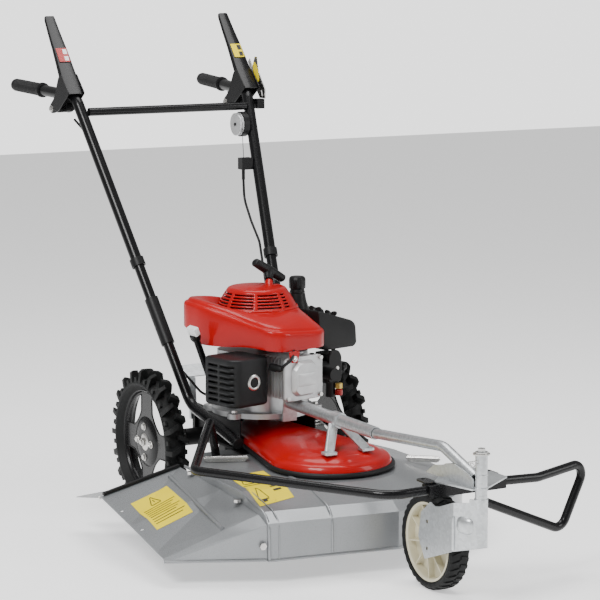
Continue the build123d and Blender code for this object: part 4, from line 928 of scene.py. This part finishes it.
piece("hose_cap", turned([(AXIS_R, 0), (9, 0), (9, 9), (6, 12), (AXIS_R, 12)], 12),
      ENGINE @ at(168, -86, 330) @ turn_about("Y", 70), PLASTIC)

# ---------------------------------------------------------------- starter grip
ROPE_R, STUB = 1.9, 40
foot = Vector((12, -10, 522))  # where the rope leaves the dome
pull = Vector((0.42, 0.5, 0.757)).normalized()
bar_way = Vector((0.874, 0, -0.485)).normalized()
across = bar_way.cross(pull).normalized()
BAR_HALF = ((0, 13), (12, 12.6), (30, 11.8), (46, 10.8), (49, 8), (50, 4))  # out from the middle, and radius
STALK = ((24.8, 7), (26, 10), (32, 10.5), (40, 13), (46, 18))  # up the rope, and half width


def oval(middle, first, second):
    """Ring of points round a middle, with two half axes."""
    return [middle + first * math.cos(a) + second * math.sin(a) for a in angles(24)]


centre = foot + pull * 50
bar_stations = [(-out, wide) for out, wide in reversed(BAR_HALF[1:])] + list(BAR_HALF)
bar_rings = [oval(centre + bar_way * out, across * wide, bar_way.cross(across) * (wide * 0.86))
             for out, wide in bar_stations]
stalk_rings = [oval(foot + pull * reach, across * (wide * 0.8), bar_way * wide) for reach, wide in STALK]
rope = rod([foot - pull * STUB, foot, foot + pull * 26], ROPE_R, 10)
piece("pull_handle", joined([skin(bar_rings), skin(stalk_rings), rope]), ENGINE, PLASTIC, body="starter",
      slot="gloss_black_plastic", stands_for=["starter_grip"], sharp=50)
guide = [(3.2, -4), (9, -4), (11, 2), (9.5, 8), (9, 19), (7.6, 22.5), (3.6, 23), (3.2, 20)]
piece("rope_guide", turned(guide, 32, loop=True), facing(foot, pull, (1, 0, 0), ENGINE), RED, sharp=50)

# ---------------------------------------------------------------- oil filler
low, high = Vector((-150, 2, 324.4)), Vector((-199, -6, 430))
tall = (high - low).length
tube = turned([(AXIS_R, 1), (9, 1), (9, 10), (7.8, 14), (7.6, tall - 8), (11, tall - 2), (12.6, tall + 2),
               (12.6, tall + 9), (AXIS_R, tall + 9)], 28)
plug = moved(plate([(-15, -7), (15, -7), (15, 7), (-15, 7)], 20, edge=2.5, corner=4), at(0, 0, tall + 9.4))
piece("filler_tube", joined([tube, tinted(plug, 1)]), facing(low, high - low, (0, 1, 0), ENGINE), GLOSS,
      WHITE, stands_for=["oil_filler"], sharp=40)

# ---------------------------------------------------------------- grips and levers
HANDLE_BEND, GRIP_END, GRIP_LENGTH = (233, 403, 941), (262, 716, 955), 150
grip_profile = [(13.6, 0), (18.3, 0), (18.5, 1.5), (18.5, 7.5), (18, 9), (15.4, 10)]
RIBS = 22
for k in range(RIBS):
    z = 14 + k * (GRIP_LENGTH - 30) / RIBS
    grip_profile += [(15.0, z), (15.9, z + 0.8), (15.9, z + 3.0), (15.0, z + 3.9)]
grip_profile += [(radius, GRIP_LENGTH - left) for radius, left in
                 ((15.2, 12), (15.8, 8), (15, 4), (11, 1), (AXIS_R, 0.2))]
grips = []
for hand, _ in HANDS:
    bend = Vector((hand * HANDLE_BEND[0], *HANDLE_BEND[1:]))
    end = Vector((hand * GRIP_END[0], *GRIP_END[1:]))
    back = (end - bend).normalized()
    seat = facing(end - back * GRIP_LENGTH, back, base=Matrix.Identity(4))
    grips.append(moved(turned(grip_profile, 40), seat))
piece("ribbed_grips", joined(grips), MACHINE, GRIP, stands_for=["grips"], sharp=34)

LEVER_X = 238.5
LEVER_PIVOT = (490, 908)  # y and z
# stations of a control lever's pressed channel: y, z, width across and depth of its side flanges
LEVER_STATIONS = ((388, 949, 42, 14), (393, 955, 42.6, 17), (431, 997, 40, 16), (476, 1053, 34.5, 12),
                  (512, 1094, 30, 10), (537, 1125, 26.5, 9), (541.5, 1131, 24, 7))
LEVER_CHEEK = ((381, 950), (430, 996), (446, 984), (470, 938), (486, 925), (499, 916), (500, 902),
               (490, 896.5), (470, 898), (445, 906))
SHEET = 2.2


def channel_ring(y, z, wide, deep, out):
    """Closed C-shaped section of a lever, whose web faces along out and whose flanges point away from it."""
    half, bend = wide / 2, 3.0
    profile = [(-half, -deep), (-half, -bend), (-half + 0.9, -0.9), (-half + bend, 0), (half - bend, 0),
               (half - 0.9, -0.9), (half, -bend), (half, -deep), (half - SHEET, -deep),
               (half - SHEET, -bend - 0.4), (half - bend - 1, -SHEET), (-half + bend + 1, -SHEET),
               (-half + SHEET, -bend - 0.4), (-half + SHEET, -deep)]
    return [(x, y + out.x * up, z + out.y * up) for x, up in profile]


for hand, word in HANDS:
    rings = []
    for k, (y, z, wide, deep) in enumerate(LEVER_STATIONS):
        before, after = LEVER_STATIONS[max(k - 1, 0)], LEVER_STATIONS[min(k + 1, len(LEVER_STATIONS) - 1)]
        run = Vector((after[0] - before[0], after[1] - before[1])).normalized()
        rings.append(channel_ring(y, z, wide, deep, Vector((-run.y, run.x))))
    meshes = [skin(rings)]
    for side in (-1, 1):
        stand = at(side * 20.4 - SHEET / 2, 0, 0) @ UPRIGHT
        meshes.append(moved(plate(LEVER_CHEEK, SHEET, corner=7), stand))
    axle = turned([(AXIS_R, -23.5), (4, -23.5), (4, 23.5), (AXIS_R, 23.5)], 24)
    meshes.append(moved(axle, at(0, *LEVER_PIVOT) @ ALONG_X))
    piece(f"pressed_lever_{word}", joined(meshes), MACHINE @ at(hand * LEVER_X, 0, 0), BLACK,
          body=f"lever_{word}", stands_for=[f"control_lever_{word}"], sharp=35)
    for side in (-1, 1):
        pin = MACHINE @ at(hand * LEVER_X + side * 21.6, *LEVER_PIVOT) @ turn_about("Y", 90 * side)
        piece(f"lever_pin_{word}_{'outer' if side == hand else 'inner'}", hexagon_bolt(7, 4, 9), pin, STEEL,
              body=f"lever_{word}")
    sticker = [(hand * LEVER_X + out, y, z) for out, y, z in
               ((-14, 452, 1021), (14, 452, 1021), (14, 478, 1053), (-14, 478, 1053))]
    marks = [bar(0.56, 0.08, 0.92, 0.4), bar(0.56, 0.55, 0.92, 0.9)]
    looks = (YELLOW, INK) if word == "left" else (VALVE_RED, WHITE)
    decal(f"lever_label_{word}", sticker, marks, looks, lift=3.2, body=f"lever_{word}")

# plugs in the front ends of the handle's lower tubes
for hand, word in HANDS:
    forward = Vector((0, -238, -46)).normalized()
    plug = turned([(AXIS_R, -6), (11, -6), (11, 0.2), (13.4, 0.4), (13.4, 2), (12.4, 3.4), (7, 4.2),
                   (AXIS_R, 4.4)], 32)
    piece(f"tube_plug_{word}", plug, facing((hand * 134, -250, 200), forward), PLASTIC, sharp=45)

# yellow field on the throttle's plate
field = [(11 * math.cos(a), 27 * math.sin(a)) for a in angles(40)]
piece("throttle_label", plate(field, 0.5, edge=0.1),
      MACHINE @ at(264.4, 413, 986) @ UPRIGHT @ turn_about("Z", -28), YELLOW, slot="galvanised")

# ---------------------------------------------------------------- hinges
KNUCKLES, KNUCKLE_R, PIN_R, PIN_OUT = 5, 6.4, 3.4, 3
HINGES = {"rear_hinge": ((-226, -268, 178), (-141, -304, 178)),
          "side_hinge": ((182, -460, 173), (236, -505, 173))}
for name, (start, end) in HINGES.items():
    run = Vector(end) - Vector(start)
    profile = [(AXIS_R, -PIN_OUT), (PIN_R, -PIN_OUT), (PIN_R, 0)]
    for k in range(KNUCKLES):
        low, high = (run.length / KNUCKLES * edge for edge in (k, k + 1))
        profile += [(KNUCKLE_R - 0.8, low), (KNUCKLE_R, low + 1), (KNUCKLE_R, high - 1.4),
                    (KNUCKLE_R - 0.8, high - 0.5)]
    profile += [(PIN_R, run.length), (PIN_R, run.length + PIN_OUT), (AXIS_R, run.length + PIN_OUT)]
    piece(name, turned(profile, 28), facing(start, run), STEEL, sharp=30)

# ---------------------------------------------------------------- floor, light and camera
FLOOR = 9  # metres from its middle to an edge
floor_mesh = bpy.data.meshes.new("floor")
floor_mesh.from_pydata([(x * FLOOR, y * FLOOR, 0) for x, y in ((-1, -1), (1, -1), (1, 1), (-1, 1))], [],
                       [(0, 1, 2, 3)])
PAPER = new_surface("pale_floor", (0.94, 0.94, 0.94), roughness=0.8, mottle=0.01, grain=0.05, grain_scale=60,
                    specular=0.1)
glow = PAPER.node_tree.nodes["Principled BSDF"].inputs
glow["Emission Color"].default_value = (1, 1, 1, 1)
glow["Emission Strength"].default_value = 0.6
floor_mesh.materials.append(PAPER)
floor = bpy.data.objects.new("floor", floor_mesh)
bpy.context.scene.collection.objects.link(floor)

# a soft sky lights the object, and the camera sees a brighter paper behind it
SKY_LIGHT, SKY_SEEN = 0.36, 2.6
world = bpy.data.worlds.new("studio")
world.use_nodes = True
sky, wires = world.node_tree.nodes, world.node_tree.links
soft = sky["Background"]
soft.inputs["Color"].default_value = (1, 1, 1, 1)
soft.inputs["Strength"].default_value = SKY_LIGHT
paper = sky.new("ShaderNodeBackground")
paper.inputs["Strength"].default_value = SKY_SEEN
seen = sky.new("ShaderNodeLightPath")
choice = sky.new("ShaderNodeMixShader")
wires.new(seen.outputs["Is Camera Ray"], choice.inputs["Fac"])
wires.new(soft.outputs["Background"], choice.inputs[1])
wires.new(paper.outputs["Background"], choice.inputs[2])
wires.new(choice.outputs["Shader"], sky["World Output"].inputs["Surface"])
bpy.context.scene.world = world


def softbox(name, place, target, size, power):
    """Rectangular studio light that faces a target."""
    light = bpy.data.lights.new(name, "AREA")
    light.shape = "RECTANGLE"
    light.size, light.size_y = size
    light.energy = power
    obj = bpy.data.objects.new(name, light)
    obj.location = place
    obj.rotation_euler = (Vector(target) - Vector(place)).to_track_quat("-Z", "Y").to_euler()
    bpy.context.scene.collection.objects.link(obj)


softbox("key", (-2.4, -1.6, 2.9), (0, -0.1, 0.4), (1.6, 1.2), 120)
softbox("fill", (2.6, -2.6, 1.8), (0, 0, 0.5), (1.2, 2.0), 42)
softbox("top", (0.2, 0.3, 3.2), (0, 0, 0.4), (2.2, 1.6), 70)

CAMERA_TURN, CAMERA_DROP, CAMERA_ROLL = math.radians(28.856), math.radians(8.7916), math.radians(-0.1213)
look = Vector((math.sin(CAMERA_TURN) * math.cos(CAMERA_DROP), math.cos(CAMERA_TURN) * math.cos(CAMERA_DROP),
               -math.sin(CAMERA_DROP)))
right = Vector((math.cos(CAMERA_TURN), -math.sin(CAMERA_TURN), 0))
up = right.cross(look)
axes = (right * math.cos(CAMERA_ROLL) + up * math.sin(CAMERA_ROLL),
        up * math.cos(CAMERA_ROLL) - right * math.sin(CAMERA_ROLL), -look)
camera = bpy.data.objects.new("camera", bpy.data.cameras.new("camera"))
camera.data.lens = 137.147
camera.data.sensor_width = 36
camera_spot = MACHINE @ Vector((-2427.74, -4701.01, 1298.09))
camera.matrix_world = at(*camera_spot) @ Matrix(axes).transposed().to_4x4()
bpy.context.scene.collection.objects.link(camera)
bpy.context.scene.camera = camera
